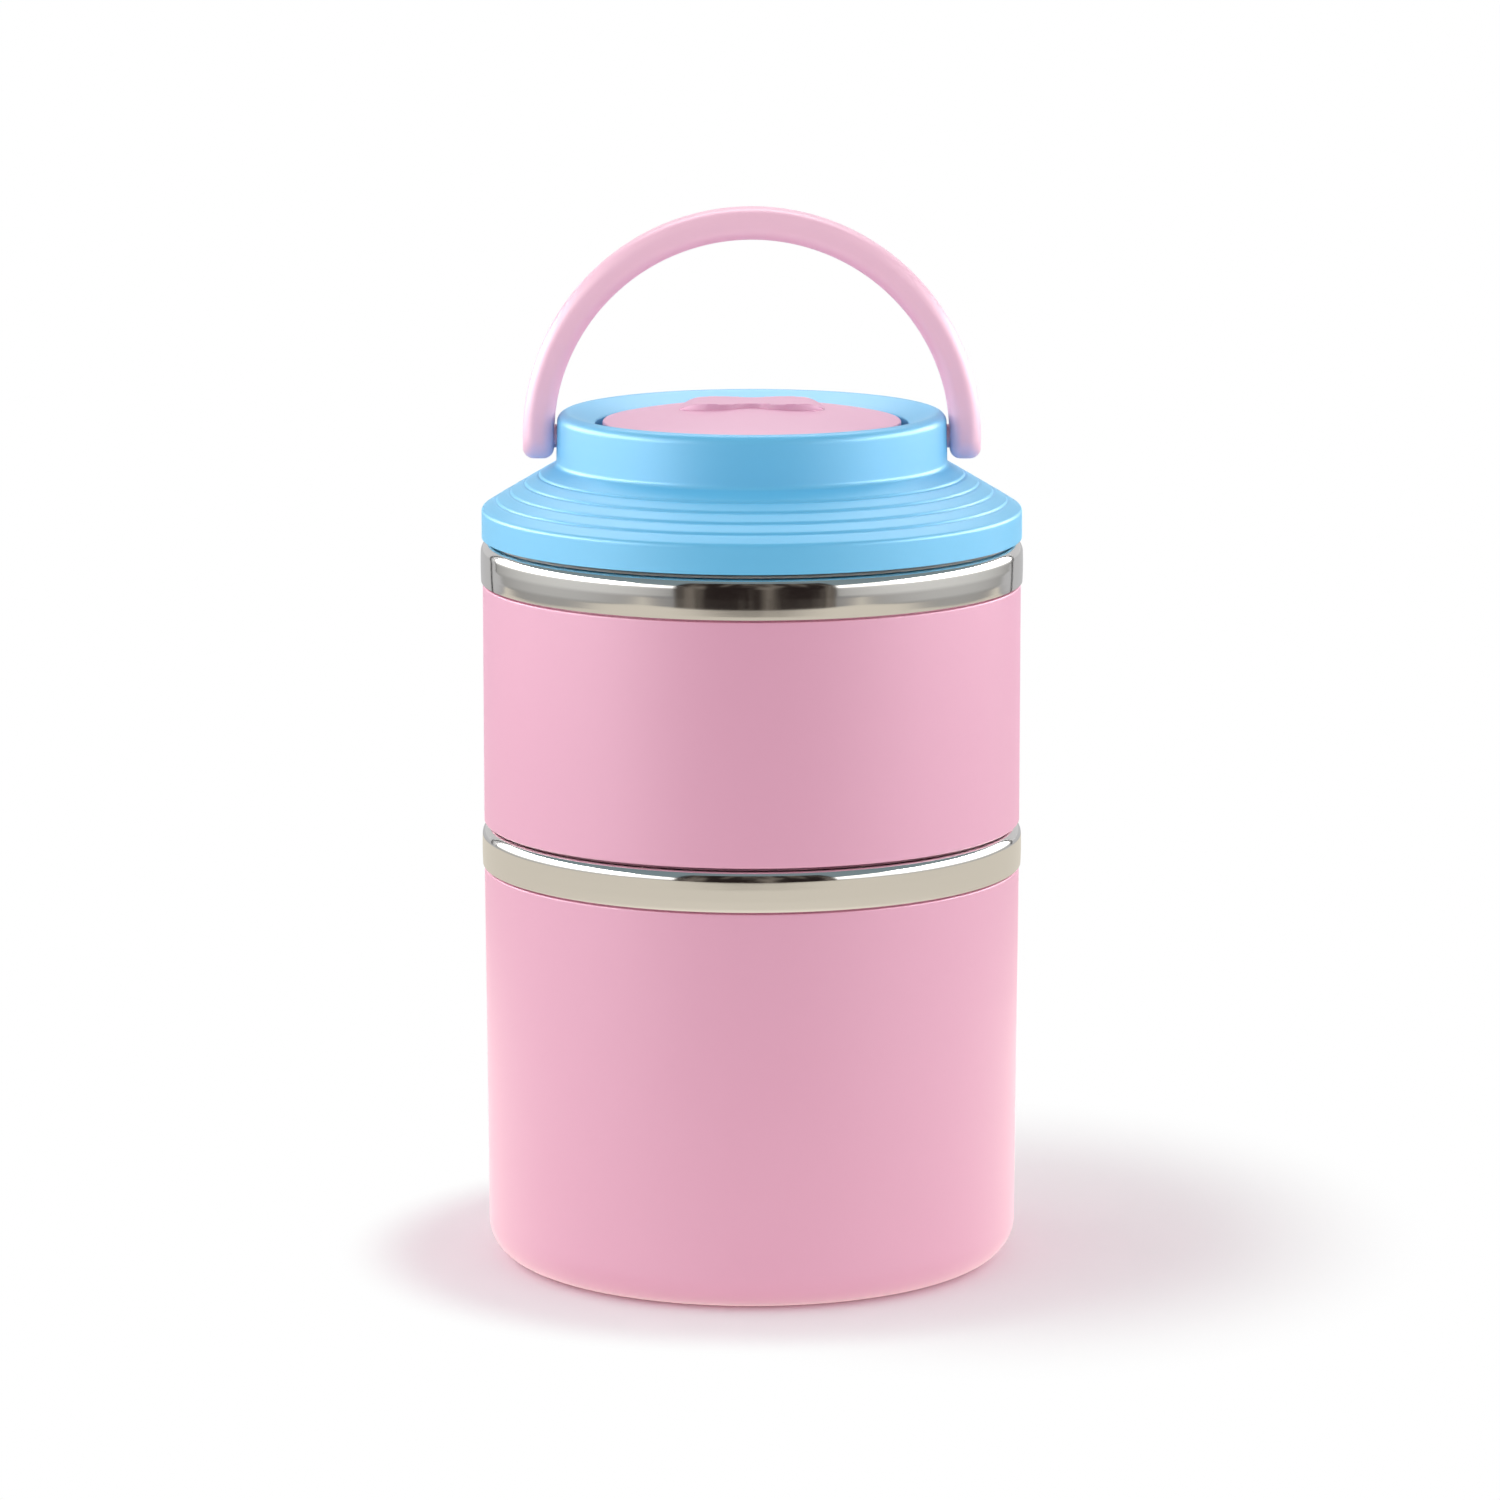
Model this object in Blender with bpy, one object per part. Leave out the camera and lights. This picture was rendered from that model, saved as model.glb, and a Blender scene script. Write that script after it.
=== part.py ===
"""Two-tier lunch carrier: steel bowls in plastic shells, screwed together, with a lid and a bail.

Metres, +Z up. The carrier stands on z = 0 and turns about Z. The bail swings about an X axis.
Every round piece is a closed outline of (radius, height) points, turned about Z.
"""

import math

import bmesh
import bpy
from mathutils import Vector

# Overall sizes.
BODY_RADIUS = 0.0675  # outer face of the steel bands
LOWER_RIM = 0.1102  # table to the rim of the lower bowl
TIER_RISE = 0.0712  # rim of the lower bowl to the rim of the upper bowl
BAND_HEIGHT = 0.0106

# Clearances.
SEAT_GAP = 0.0003  # between pieces that rest on each other or are fixed together
TURN_GAP = 0.0004  # between a screw plug and the neck it turns in
LID_GAP = 0.00065  # rim of the upper bowl to the edge of the lid
DISC_GAP = 0.0018  # around the vent disc

# Steel bowls.
SHEET = 0.0007
BAND_ROUND = 0.003
MOUTH_ROUND = 0.0015
RIM_WIDTH = 0.0055  # face of the band to the wall of the neck
NECK_DEPTH = 0.0133  # rim to the ledge that takes the seal
LEDGE_WIDTH = 0.005
LEDGE_ROUND = 0.0012
BOWL_ROUND = 0.012
FLOOR_SPACE = 0.0035  # air under each bowl

# Plastic shells.
SHELL_WALL = 0.0018
BAND_STEP = 0.0006  # how far the band stands proud of the shell
DRAFT = 0.0007  # the lower shell is this much narrower at its foot
FOOT_ROUND = 0.009
FOOT_WIDTH = 0.006
FOOT_RECESS = 0.001
EDGE_ROUND = 0.0009

# Screw plugs, threads and seals.
PLUG_WALL = 0.0018
THREAD_STARTS = 4
THREAD_LEAD = 0.016
RIB_FACETS = 8  # length of each thread rib, in facets of the turned pieces
RIB_WIDTH = 0.0013
RIB_CREST = 0.0009
RIB_HEIGHT = 0.0011
RIB_CLEAR = 0.00135  # seal groove to the lower edge of the ribs on the plug
SEAL_WIDTH = 0.0019
SEAL_HEIGHT = 0.0023
SEAL_PROUD = 0.0004  # how far the seal reaches below its plug
SEAL_INSET = 0.0001  # how far the seal lies inside the wall of its plug

# Lid.
LID_WALL = 0.002
LID_STEP = 0.0004  # the lid is this much inside the face of the band
LID_RIM = 0.0071
SHOULDER_SLOPE = 0.596
SHOULDER_ROUND = 0.0012
COLLAR_RADIUS = 0.0485
COLLAR_HEIGHT = 0.0128
COLLAR_FOOT_ROUND = 0.0016
CREST_ROUND = 0.0022
CREST_WIDTH = 0.0032
FUNNEL_DROP = 0.0027
FUNNEL_WIDTH = 0.0065  # crest of the collar to the wall of the well
WELL_DEPTH = 0.008

# Vent.
DISC_DROP = 0.0022  # top of the collar to the edge of the disc
DISC_WALL = 0.0018
DOME = 0.004
PAD_LENGTH = 0.0374
PAD_WIDTH = 0.017
PAD_NOTCH = 0.0018
PAD_RISE = 0.001
PAD_FACETS = 24
STEM_RADIUS = 0.003
STEM_HOLE_GAP = 0.0006
CHIMNEY_WALL = 0.0018
CHIMNEY_RADIUS = 0.0065
VENT_BORE = 0.004
VENT_TRAVEL = 0.004
STOPPER_RADIUS = 0.0058
STOPPER_HEIGHT = 0.0038
NOSE_LENGTH = 0.003
STEM_SOCKET = 0.0024  # depth of the hole in the stopper that takes the stem

# Bail.
BAIL_GAP = 0.0005  # collar to bail
BAIL_THICK = 0.0077
BAIL_DEPTH = 0.012
BAIL_ROUND = 0.003
BAIL_DROP = 0.0057  # pivot to the tip of each arm
PIVOT_INSET = 0.0001  # how far the folded bail lies below the top of the collar
BAIL_FACETS = 24
TIP_FACETS = 4
TRUNNION_RADIUS = 0.0029
TRUNNION_LENGTH = 0.0044
TRUNNION_GAP = 0.0003
TRUNNION_FACETS = 20
SOCKET_WALL = 0.0012

# Fineness. A multiple of four puts points on the X and Y axes.
FACETS = 40
CORNER_STEP = math.radians(46)
CUTTER_EXTRA = 0.002

# Sizes that follow from those above.
NECK_RADIUS = BODY_RADIUS - RIM_WIDTH
BOWL_RADIUS = NECK_RADIUS - LEDGE_WIDTH
UPPER_RIM = LOWER_RIM + TIER_RISE
SHELL_RADIUS = BODY_RADIUS - BAND_STEP
SHELL_NECK = BODY_RADIUS - SHEET - SEAT_GAP
PLUG_RADIUS = NECK_RADIUS - RIB_HEIGHT - TURN_GAP
PLUG_DEPTH = NECK_DEPTH - SEAT_GAP - SEAL_PROUD
LID_RADIUS = BODY_RADIUS - LID_STEP
LID_EDGE = UPPER_RIM + LID_GAP
SHOULDER_EDGE = LID_EDGE + LID_RIM
COLLAR_FOOT = SHOULDER_EDGE + SHOULDER_SLOPE * (LID_RADIUS - COLLAR_RADIUS)
COLLAR_TOP = COLLAR_FOOT + COLLAR_HEIGHT
WELL_FLOOR = COLLAR_TOP - WELL_DEPTH
WELL_RADIUS = COLLAR_RADIUS - CREST_WIDTH - FUNNEL_WIDTH
DISC_RADIUS = WELL_RADIUS - DISC_GAP
STEM_HOLE = STEM_RADIUS + STEM_HOLE_GAP
CHIMNEY_TOP = WELL_FLOOR - LID_WALL - SEAT_GAP
STOPPER_TOP = CHIMNEY_TOP - VENT_TRAVEL
VENT_SEAT = STOPPER_TOP - STOPPER_HEIGHT - SEAT_GAP
BAIL_INSIDE = COLLAR_RADIUS + BAIL_GAP
BAIL_MIDDLE = BAIL_INSIDE + BAIL_THICK / 2
PIVOT_HEIGHT = COLLAR_TOP - BAIL_DEPTH / 2 - PIVOT_INSET
SHELL_LIP = BAND_ROUND - SHEET
THREAD_SHIFT = (RIB_WIDTH + RIB_CREST) / 2 + SEAT_GAP  # ribs of the plug below ribs of the neck
GROOVE_DEPTH = PLUG_DEPTH + SEAL_PROUD - SEAL_HEIGHT - SEAT_GAP  # rim to the top of the seal groove
RIB_DROP = GROOVE_DEPTH - RIB_CLEAR - RIB_WIDTH / 2 - THREAD_SHIFT  # rim to the ribs in the neck


def clear_scene():
    for old in list(bpy.data.objects):
        bpy.data.objects.remove(old)


def make_finish(name, colour, roughness, metallic):
    finish = bpy.data.materials.new(name)
    finish.use_nodes = True
    surface = finish.node_tree.nodes["Principled BSDF"]
    surface.inputs["Base Color"].default_value = (*colour, 1)
    surface.inputs["Roughness"].default_value = roughness
    surface.inputs["Metallic"].default_value = metallic
    return finish


def add_object(name, solid, finish=None, location=(0, 0, 0)):
    """A shaded object from a bmesh, which it frees."""
    mesh = bpy.data.meshes.new(name)
    solid.to_mesh(mesh)
    solid.free()
    mesh.shade_smooth()
    mesh.set_sharp_from_angle(angle=math.radians(35))
    thing = bpy.data.objects.new(name, mesh)
    thing.location = location
    bpy.context.scene.collection.objects.link(thing)
    if finish:
        mesh.materials.append(finish)
    return thing


def join(thing, helper, operation):
    """Adds or cuts a helper solid, which stays in the scene out of sight."""
    helper.hide_render = True
    helper.display_type = "WIRE"
    step = thing.modifiers.new(f"{operation.lower()} {helper.name}", "BOOLEAN")
    step.operation = operation
    step.solver = "EXACT"
    step.object = helper


def round_corner(before, corner, after, radius):
    """Points along the arc that replaces one corner of an outline."""
    into = (corner - before).normalized()
    out = (after - corner).normalized()
    turn = math.atan2(into.cross(out), into.dot(out))
    start = corner - into * radius * math.tan(abs(turn) / 2)
    side = math.copysign(1, turn)
    centre = start + Vector((-into.y, into.x)) * radius * side
    steps = max(1, math.ceil(abs(turn) / CORNER_STEP))
    points = []
    for step in range(steps + 1):
        angle = turn * step / steps
        arm = start - centre
        swung = Vector(
            (
                arm.x * math.cos(angle) - arm.y * math.sin(angle),
                arm.x * math.sin(angle) + arm.y * math.cos(angle),
            )
        )
        points.append(centre + swung)
    return points


def rounded(corners):
    """An open outline from corners (radius, height, rounding), with rounding left out where sharp."""
    places = [Vector(corner[:2]) for corner in corners]
    points = places[:1]
    for index in range(1, len(corners) - 1):
        if len(corners[index]) == 2:
            points.append(places[index])
            continue
        points += round_corner(*places[index - 1 : index + 2], corners[index][2])
    return points + places[-1:]


def beside(points, distance):
    """The outline moved to its left by a distance, with mitred corners."""
    moved = []
    for index, point in enumerate(points):
        ahead = points[min(index + 1, len(points) - 1)] - points[min(index, len(points) - 2)]
        behind = points[max(index, 1)] - points[max(index - 1, 0)]
        side_ahead = Vector((-ahead.y, ahead.x)).normalized()
        side_behind = Vector((-behind.y, behind.x)).normalized()
        mitre = (side_ahead + side_behind) / (1 + side_ahead.dot(side_behind))
        place = point + mitre * distance
        if point.x == 0:
            place.x = 0
        moved.append(place)
    return moved


def wall(corners, thickness):
    """A closed outline of even thickness, to the left of an open one."""
    face = rounded(corners)
    return face + beside(face, thickness)[::-1]


def turned(name, outline, finish):
    """A solid turned about Z from a closed outline."""
    solid = bmesh.new()
    points = [solid.verts.new((point.x, 0, point.y)) for point in outline]
    edges = []
    for start, end in zip(points, points[1:] + points[:1]):
        if start.co.x or end.co.x:
            edges.append(solid.edges.new((start, end)))
    bmesh.ops.spin(
        solid, geom=points + edges, axis=(0, 0, 1), angle=math.tau, steps=FACETS, use_merge=True
    )
    bmesh.ops.remove_doubles(solid, verts=solid.verts, dist=1e-6)
    bmesh.ops.recalc_face_normals(solid, faces=solid.faces)
    return add_object(name, solid, finish)


def skin_rings(solid, rings):
    """A closed skin over rings of points, with a flat face at each end."""
    loops = [[solid.verts.new(point) for point in ring] for ring in rings]
    for low, high in zip(loops, loops[1:]):
        for index in range(len(low)):
            last = index - 1
            solid.faces.new((low[last], low[index], high[index], high[last]))
    solid.faces.new(loops[0])
    solid.faces.new(loops[-1])


def thread_ribs(name, root_radius, crest_radius, lowest):
    """Helper solid: one helical rib for each start, whose lower end has its middle at a height."""
    solid = bmesh.new()
    for start in range(THREAD_STARTS):
        rings = []
        for facet in range(RIB_FACETS + 1):
            along = math.tau * facet / FACETS
            angle = math.tau * start / THREAD_STARTS + along
            height = lowest + THREAD_LEAD * along / math.tau
            ring = []
            for radius, half in (
                (root_radius, -RIB_WIDTH / 2),
                (crest_radius, -RIB_CREST / 2),
                (crest_radius, RIB_CREST / 2),
                (root_radius, RIB_WIDTH / 2),
            ):
                ring.append((radius * math.cos(angle), radius * math.sin(angle), height + half))
            rings.append(ring)
        skin_rings(solid, rings)
    bmesh.ops.recalc_face_normals(solid, faces=solid.faces)
    return add_object(name, solid)


def rod_along_x(name, radius, start, end, height, facets):
    """A round rod along X from start to end."""
    solid = bmesh.new()
    rings = []
    for x in (start, end):
        ring = []
        for facet in range(facets):
            angle = math.tau * facet / facets
            ring.append((x, radius * math.cos(angle), height + radius * math.sin(angle)))
        rings.append(ring)
    skin_rings(solid, rings)
    bmesh.ops.recalc_face_normals(solid, faces=solid.faces)
    return add_object(name, solid)


def make_liner(name, rim, floor, finish):
    """A drawn steel bowl whose rim is rolled outwards and down to make the band."""
    corners = [
        (BODY_RADIUS, rim - BAND_HEIGHT),
        (BODY_RADIUS, rim, BAND_ROUND),
        (NECK_RADIUS, rim, MOUTH_ROUND),
        (NECK_RADIUS, rim - NECK_DEPTH, LEDGE_ROUND),
        (BOWL_RADIUS, rim - NECK_DEPTH, LEDGE_ROUND),
        (BOWL_RADIUS, floor, BOWL_ROUND),
        (0, floor),
    ]
    liner = turned(name, wall(corners, SHEET), finish)
    ribs = thread_ribs(
        f"{name}_ribs", NECK_RADIUS + SHEET / 2, NECK_RADIUS - RIB_HEIGHT, rim - RIB_DROP
    )
    join(liner, ribs, "UNION")
    return liner


def shell_lip(rim):
    """Upper end of a shell's face, from its step under the band to the top of its lip."""
    step = rim - BAND_HEIGHT - SEAT_GAP
    top = rim - SHEET - SEAT_GAP
    return [
        (SHELL_RADIUS, step),
        (SHELL_NECK, step),
        (SHELL_NECK, top, SHELL_LIP - SEAT_GAP),
        (SHELL_NECK - SHELL_LIP, top),
    ]


def lip_inside(rim):
    """Inner side of that lip, from the step in the shell's wall up."""
    step = rim - BAND_HEIGHT - SEAT_GAP - SHELL_LIP
    return Vector((SHELL_NECK - SHELL_LIP, step))


def make_lower_shell(finish):
    foot_radius = SHELL_RADIUS - DRAFT
    ring_radius = foot_radius - FOOT_ROUND - FOOT_WIDTH
    lip = shell_lip(LOWER_RIM)
    foot = [
        (0, FOOT_RECESS),
        (ring_radius - FOOT_RECESS, FOOT_RECESS),
        (ring_radius, 0),
        (foot_radius, 0, FOOT_ROUND),
        (SHELL_RADIUS, lip[0][1] - SHELL_LIP),
    ]
    inside = beside(rounded(foot), SHELL_WALL)[::-1]
    outline = rounded(foot + lip) + [lip_inside(LOWER_RIM)] + inside
    return turned("lower_shell", outline, finish)


def make_upper_shell(finish):
    foot = LOWER_RIM + SEAT_GAP
    corners = [
        (SHELL_RADIUS - SHELL_WALL, foot),
        (SHELL_RADIUS, foot, EDGE_ROUND),
    ] + shell_lip(UPPER_RIM)
    lip = lip_inside(UPPER_RIM)
    inside = [lip, Vector((SHELL_RADIUS - SHELL_WALL, lip.y))]
    return turned("upper_shell", rounded(corners) + inside, finish)


def plug_corners(rim, flange_radius, flange_gap, middle):
    """Underside of a screw plug: floor, groove for the seal, wall and flange."""
    groove_radius = PLUG_RADIUS - SEAL_INSET - SEAL_WIDTH - SEAT_GAP
    groove_top = rim - GROOVE_DEPTH
    return [
        (middle, rim - PLUG_DEPTH),
        (groove_radius, rim - PLUG_DEPTH),
        (groove_radius, groove_top),
        (PLUG_RADIUS, groove_top),
        (PLUG_RADIUS, rim + flange_gap),
        (flange_radius, rim + flange_gap),
    ]


def plug_ribs(name, rim):
    root = PLUG_RADIUS - PLUG_WALL / 2
    return thread_ribs(name, root, NECK_RADIUS - TURN_GAP, rim - RIB_DROP - THREAD_SHIFT)


def make_base_plug(finish):
    flange_radius = SHELL_RADIUS - SHELL_WALL - SEAT_GAP
    corners = plug_corners(LOWER_RIM, flange_radius, SEAT_GAP, 0)
    plug = turned("upper_base_plug", wall(corners, PLUG_WALL), finish)
    join(plug, plug_ribs("upper_base_plug_ribs", LOWER_RIM), "UNION")
    return plug


def make_lid_plate(finish):
    """The lid's screw plug, with the chimney that the vent's stopper seats in."""
    flange_radius = LID_RADIUS - LID_WALL - SEAT_GAP
    corners = plug_corners(UPPER_RIM, flange_radius, SEAT_GAP, VENT_BORE)
    under = rounded(corners)
    over = beside(under, PLUG_WALL)[::-1]
    outside = CHIMNEY_RADIUS + CHIMNEY_WALL
    over[-1] = Vector((outside, over[-1].y))
    chimney = [
        Vector((outside, CHIMNEY_TOP)),
        Vector((CHIMNEY_RADIUS, CHIMNEY_TOP)),
        Vector((CHIMNEY_RADIUS, VENT_SEAT)),
        Vector((VENT_BORE, VENT_SEAT)),
    ]
    plate = turned("lid_inner_plate", under + over + chimney, finish)
    join(plate, plug_ribs("lid_inner_plate_ribs", UPPER_RIM), "UNION")
    return plate


def make_seal(name, rim, finish):
    low = rim - NECK_DEPTH + SEAT_GAP
    high = low + SEAL_HEIGHT
    outside = PLUG_RADIUS - SEAL_INSET
    inside = outside - SEAL_WIDTH
    outline = [
        Vector((inside, low)),
        Vector((outside, low)),
        Vector((outside, high)),
        Vector((inside, high)),
    ]
    return turned(name, outline, finish)


def make_lid_cover(finish):
    """Rim, shoulder, collar and well, with a blind socket for each trunnion of the bail."""
    crest_inside = COLLAR_RADIUS - CREST_WIDTH
    corners = [
        (LID_RADIUS, LID_EDGE),
        (LID_RADIUS, SHOULDER_EDGE, SHOULDER_ROUND),
        (COLLAR_RADIUS, COLLAR_FOOT, COLLAR_FOOT_ROUND),
        (COLLAR_RADIUS, COLLAR_TOP, CREST_ROUND),
        (crest_inside, COLLAR_TOP),
        (WELL_RADIUS, COLLAR_TOP - FUNNEL_DROP),
        (WELL_RADIUS, WELL_FLOOR),
        (STEM_HOLE, WELL_FLOOR),
    ]
    cover = turned("lid_cover", wall(corners, LID_WALL), finish)
    radius = TRUNNION_RADIUS + TRUNNION_GAP
    start = BAIL_INSIDE - TRUNNION_LENGTH - TRUNNION_GAP
    reach = COLLAR_RADIUS + CUTTER_EXTRA
    boss_start = start - SOCKET_WALL
    boss_reach = COLLAR_RADIUS - LID_WALL / 2
    for side, name in ((-1, "left"), (1, "right")):
        boss = rod_along_x(
            f"{name}_boss",
            radius + SOCKET_WALL,
            side * boss_start,
            side * boss_reach,
            PIVOT_HEIGHT,
            TRUNNION_FACETS,
        )
        join(cover, boss, "UNION")
        socket = rod_along_x(
            f"{name}_socket", radius, side * start, side * reach, PIVOT_HEIGHT, TRUNNION_FACETS
        )
        join(cover, socket, "DIFFERENCE")
    return cover


def pad_outline():
    """Outline of the grip pad: a long rounded bar, drawn in at its middle like a bow."""
    points = []
    for facet in range(PAD_FACETS):
        angle = math.tau * facet / PAD_FACETS
        across = math.copysign(abs(math.cos(angle)) ** 0.7, math.cos(angle))
        along = math.copysign(abs(math.sin(angle)) ** 0.7, math.sin(angle))
        waist = PAD_NOTCH * (1 + math.cos(3 * math.pi * across / 2)) / 2
        points.append((PAD_LENGTH / 2 * across, (PAD_WIDTH / 2 - waist) * along))
    return points


def make_vent_cap(finish):
    """The domed disc, its skirt and the stem that carries the stopper."""
    edge = COLLAR_TOP - DISC_DROP
    dome_radius = (DISC_RADIUS**2 + DOME**2) / (2 * DOME)
    centre = edge + DOME - dome_radius
    widest = math.asin(DISC_RADIUS / dome_radius)
    face = [Vector((DISC_RADIUS, WELL_FLOOR + SEAT_GAP)), Vector((DISC_RADIUS, edge))]
    steps = 5
    for step in range(1, steps + 1):
        angle = widest * (1 - step / steps)
        face.append(Vector((dome_radius * math.sin(angle), centre + dome_radius * math.cos(angle))))
    under = beside(face, DISC_WALL)[::-1]
    stem_end = STOPPER_TOP - STEM_SOCKET + SEAT_GAP
    under[0] = Vector((STEM_RADIUS, under[0].y))
    stem = [Vector((0, stem_end)), Vector((STEM_RADIUS, stem_end))]
    cap = turned("vent_cap", face + stem + under, finish)
    pad = bmesh.new()
    top = edge + DOME + PAD_RISE
    rings = [[(x, y, height) for x, y in pad_outline()] for height in (edge + DOME / 2, top)]
    skin_rings(pad, rings)
    bmesh.ops.recalc_face_normals(pad, faces=pad.faces)
    join(cap, add_object("vent_cap_pad", pad), "UNION")
    return cap


def make_stopper(finish):
    nose_radius = VENT_BORE - SEAT_GAP
    socket_radius = STEM_RADIUS + SEAT_GAP
    low = VENT_SEAT + SEAT_GAP
    outline = [
        (0, low - NOSE_LENGTH),
        (nose_radius, low - NOSE_LENGTH),
        (nose_radius, low),
        (STOPPER_RADIUS, low),
        (STOPPER_RADIUS, STOPPER_TOP),
        (socket_radius, STOPPER_TOP),
        (socket_radius, STOPPER_TOP - STEM_SOCKET),
        (0, STOPPER_TOP - STEM_SOCKET),
    ]
    return turned("vent_plug", [Vector(point) for point in outline], finish)


def bail_section(thick, depth):
    """A rounded rectangle about the middle of the bail's bar."""
    half = Vector((BAIL_THICK / 2, BAIL_DEPTH / 2))
    corners = [
        (0, -half.y),
        (half.x, -half.y, BAIL_ROUND),
        (half.x, half.y, BAIL_ROUND),
        (-half.x, half.y, BAIL_ROUND),
        (-half.x, -half.y, BAIL_ROUND),
        (0, -half.y),
    ]
    return [(point.x * thick, point.y * depth) for point in rounded(corners)[:-1]]


def bail_ring(middle, outwards, thick, depth):
    """Points of one cross-section, in the bail's own place about its pivot axis."""
    ring = []
    for out, across in bail_section(thick, depth):
        place = middle + outwards * out
        ring.append((place.x, across, place.y))
    return ring


def arm_tip(side):
    """Cross-sections from the pivot down to the rounded tip of one arm."""
    rings = []
    for facet in range(1, TIP_FACETS + 1):
        angle = math.radians(80) * facet / TIP_FACETS
        drop = BAIL_DROP * math.sin(angle)
        near_tip = max(0, drop - BAIL_DROP + BAIL_ROUND)
        edge = BAIL_ROUND - math.sqrt(BAIL_ROUND**2 - near_tip**2)
        thick = 1 - 2 * edge / BAIL_THICK
        middle = Vector((side * BAIL_MIDDLE, -drop))
        rings.append(bail_ring(middle, Vector((side, 0)), thick, math.cos(angle)))
    return rings


def make_bail(finish):
    """A half ring about the pivot, with rounded arm tips and a trunnion inside each arm."""
    solid = bmesh.new()
    arch = []
    for facet in range(BAIL_FACETS + 1):
        angle = math.pi * facet / BAIL_FACETS
        outwards = Vector((math.cos(angle), math.sin(angle)))
        arch.append(bail_ring(outwards * BAIL_MIDDLE, outwards, 1, 1))
    left_tip = [[(-x, y, z) for x, y, z in ring] for ring in arm_tip(1)]
    skin_rings(solid, arm_tip(1)[::-1] + arch + left_tip)
    bmesh.ops.recalc_face_normals(solid, faces=solid.faces)
    bail = add_object("bail_handle", solid, finish, (0, 0, PIVOT_HEIGHT))
    for side, name in ((-1, "left"), (1, "right")):
        root = side * BAIL_MIDDLE
        end = side * (BAIL_INSIDE - TRUNNION_LENGTH)
        rod = rod_along_x(
            f"{name}_trunnion", TRUNNION_RADIUS, root, end, PIVOT_HEIGHT, TRUNNION_FACETS
        )
        join(bail, rod, "UNION")
    return bail


def build():
    clear_scene()
    pink = make_finish("pink_plastic", (0.85, 0.47, 0.60), 0.32, 0)
    blue = make_finish("blue_plastic", (0.30, 0.66, 0.90), 0.32, 0)
    white = make_finish("white_plastic", (0.80, 0.81, 0.82), 0.4, 0)
    steel = make_finish("polished_steel", (0.72, 0.71, 0.69), 0.15, 1)
    silicone = make_finish("silicone", (0.78, 0.80, 0.80), 0.55, 0)
    make_lower_shell(pink)
    make_liner("lower_liner", LOWER_RIM, FOOT_RECESS + SHELL_WALL + FLOOR_SPACE + SHEET, steel)
    make_upper_shell(pink)
    upper_floor = LOWER_RIM - PLUG_DEPTH + PLUG_WALL + FLOOR_SPACE + SHEET
    make_liner("upper_liner", UPPER_RIM, upper_floor, steel)
    make_base_plug(pink)
    make_seal("upper_base_seal", LOWER_RIM, silicone)
    make_lid_cover(blue)
    make_lid_plate(white)
    make_seal("lid_seal", UPPER_RIM, silicone)
    make_vent_cap(pink)
    make_stopper(silicone)
    make_bail(pink)


build()
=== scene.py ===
import math

import bmesh
import bpy
from mathutils import Matrix, Vector


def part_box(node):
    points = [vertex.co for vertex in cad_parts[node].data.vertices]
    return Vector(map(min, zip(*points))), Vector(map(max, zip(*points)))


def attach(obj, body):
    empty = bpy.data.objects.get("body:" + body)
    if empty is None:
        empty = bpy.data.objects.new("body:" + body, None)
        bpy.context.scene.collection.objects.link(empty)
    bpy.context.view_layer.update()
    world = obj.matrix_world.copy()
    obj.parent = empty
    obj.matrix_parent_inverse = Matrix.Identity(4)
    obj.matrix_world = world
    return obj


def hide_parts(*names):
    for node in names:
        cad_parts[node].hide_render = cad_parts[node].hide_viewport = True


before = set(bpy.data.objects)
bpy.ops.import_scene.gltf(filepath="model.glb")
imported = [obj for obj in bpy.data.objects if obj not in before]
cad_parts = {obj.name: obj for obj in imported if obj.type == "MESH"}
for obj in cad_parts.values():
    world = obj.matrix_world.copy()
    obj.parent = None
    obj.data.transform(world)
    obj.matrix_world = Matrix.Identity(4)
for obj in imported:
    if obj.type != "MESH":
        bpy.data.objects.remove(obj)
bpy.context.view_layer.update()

# Places taken from the frame, in metres.
BODY_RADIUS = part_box("lower_liner")[1][0]
LOWER_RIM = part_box("lower_liner")[1][2]
UPPER_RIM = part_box("upper_liner")[1][2]
SHELL_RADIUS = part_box("upper_shell")[1][0]
UPPER_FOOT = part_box("upper_shell")[0][2]
LID_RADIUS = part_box("lid_cover")[1][0]
LID_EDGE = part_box("lid_cover")[0][2]
COLLAR_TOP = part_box("lid_cover")[1][2]
DISC_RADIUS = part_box("vent_cap")[1][0]
PAD_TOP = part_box("vent_cap")[1][2]
STEM_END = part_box("vent_cap")[0][2]
BAIL_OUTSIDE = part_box("bail_handle")[1][0]
BAIL_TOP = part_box("bail_handle")[1][2]
BAIL_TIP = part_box("bail_handle")[0][2]
STOPPER_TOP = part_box("vent_plug")[1][2]
STOPPER_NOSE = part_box("vent_plug")[0][2]

# Steel bowls.
SHEET = 0.0007
BAND_HEIGHT = 0.0106
BAND_ROUND = 0.003
BAND_GAP = 0.0003  # shadow line between the band and the shell under it
BAND_CROWN = 0.0002  # how far the band's face swells between its edges
BAND_SWELL = 0.6  # share of the band's height, from its top, at which it is widest
BAND_CURVE = 0.072
MOUTH_ROUND = 0.0015
NECK_RADIUS = BODY_RADIUS - 0.0055
NECK_DEPTH = 0.0133
LEDGE_ROUND = 0.0012
BOWL_RADIUS = NECK_RADIUS - 0.005
BOWL_ROUND = 0.012
LOWER_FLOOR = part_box("lower_liner")[0][2] + SHEET
UPPER_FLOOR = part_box("upper_liner")[0][2] + SHEET

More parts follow.
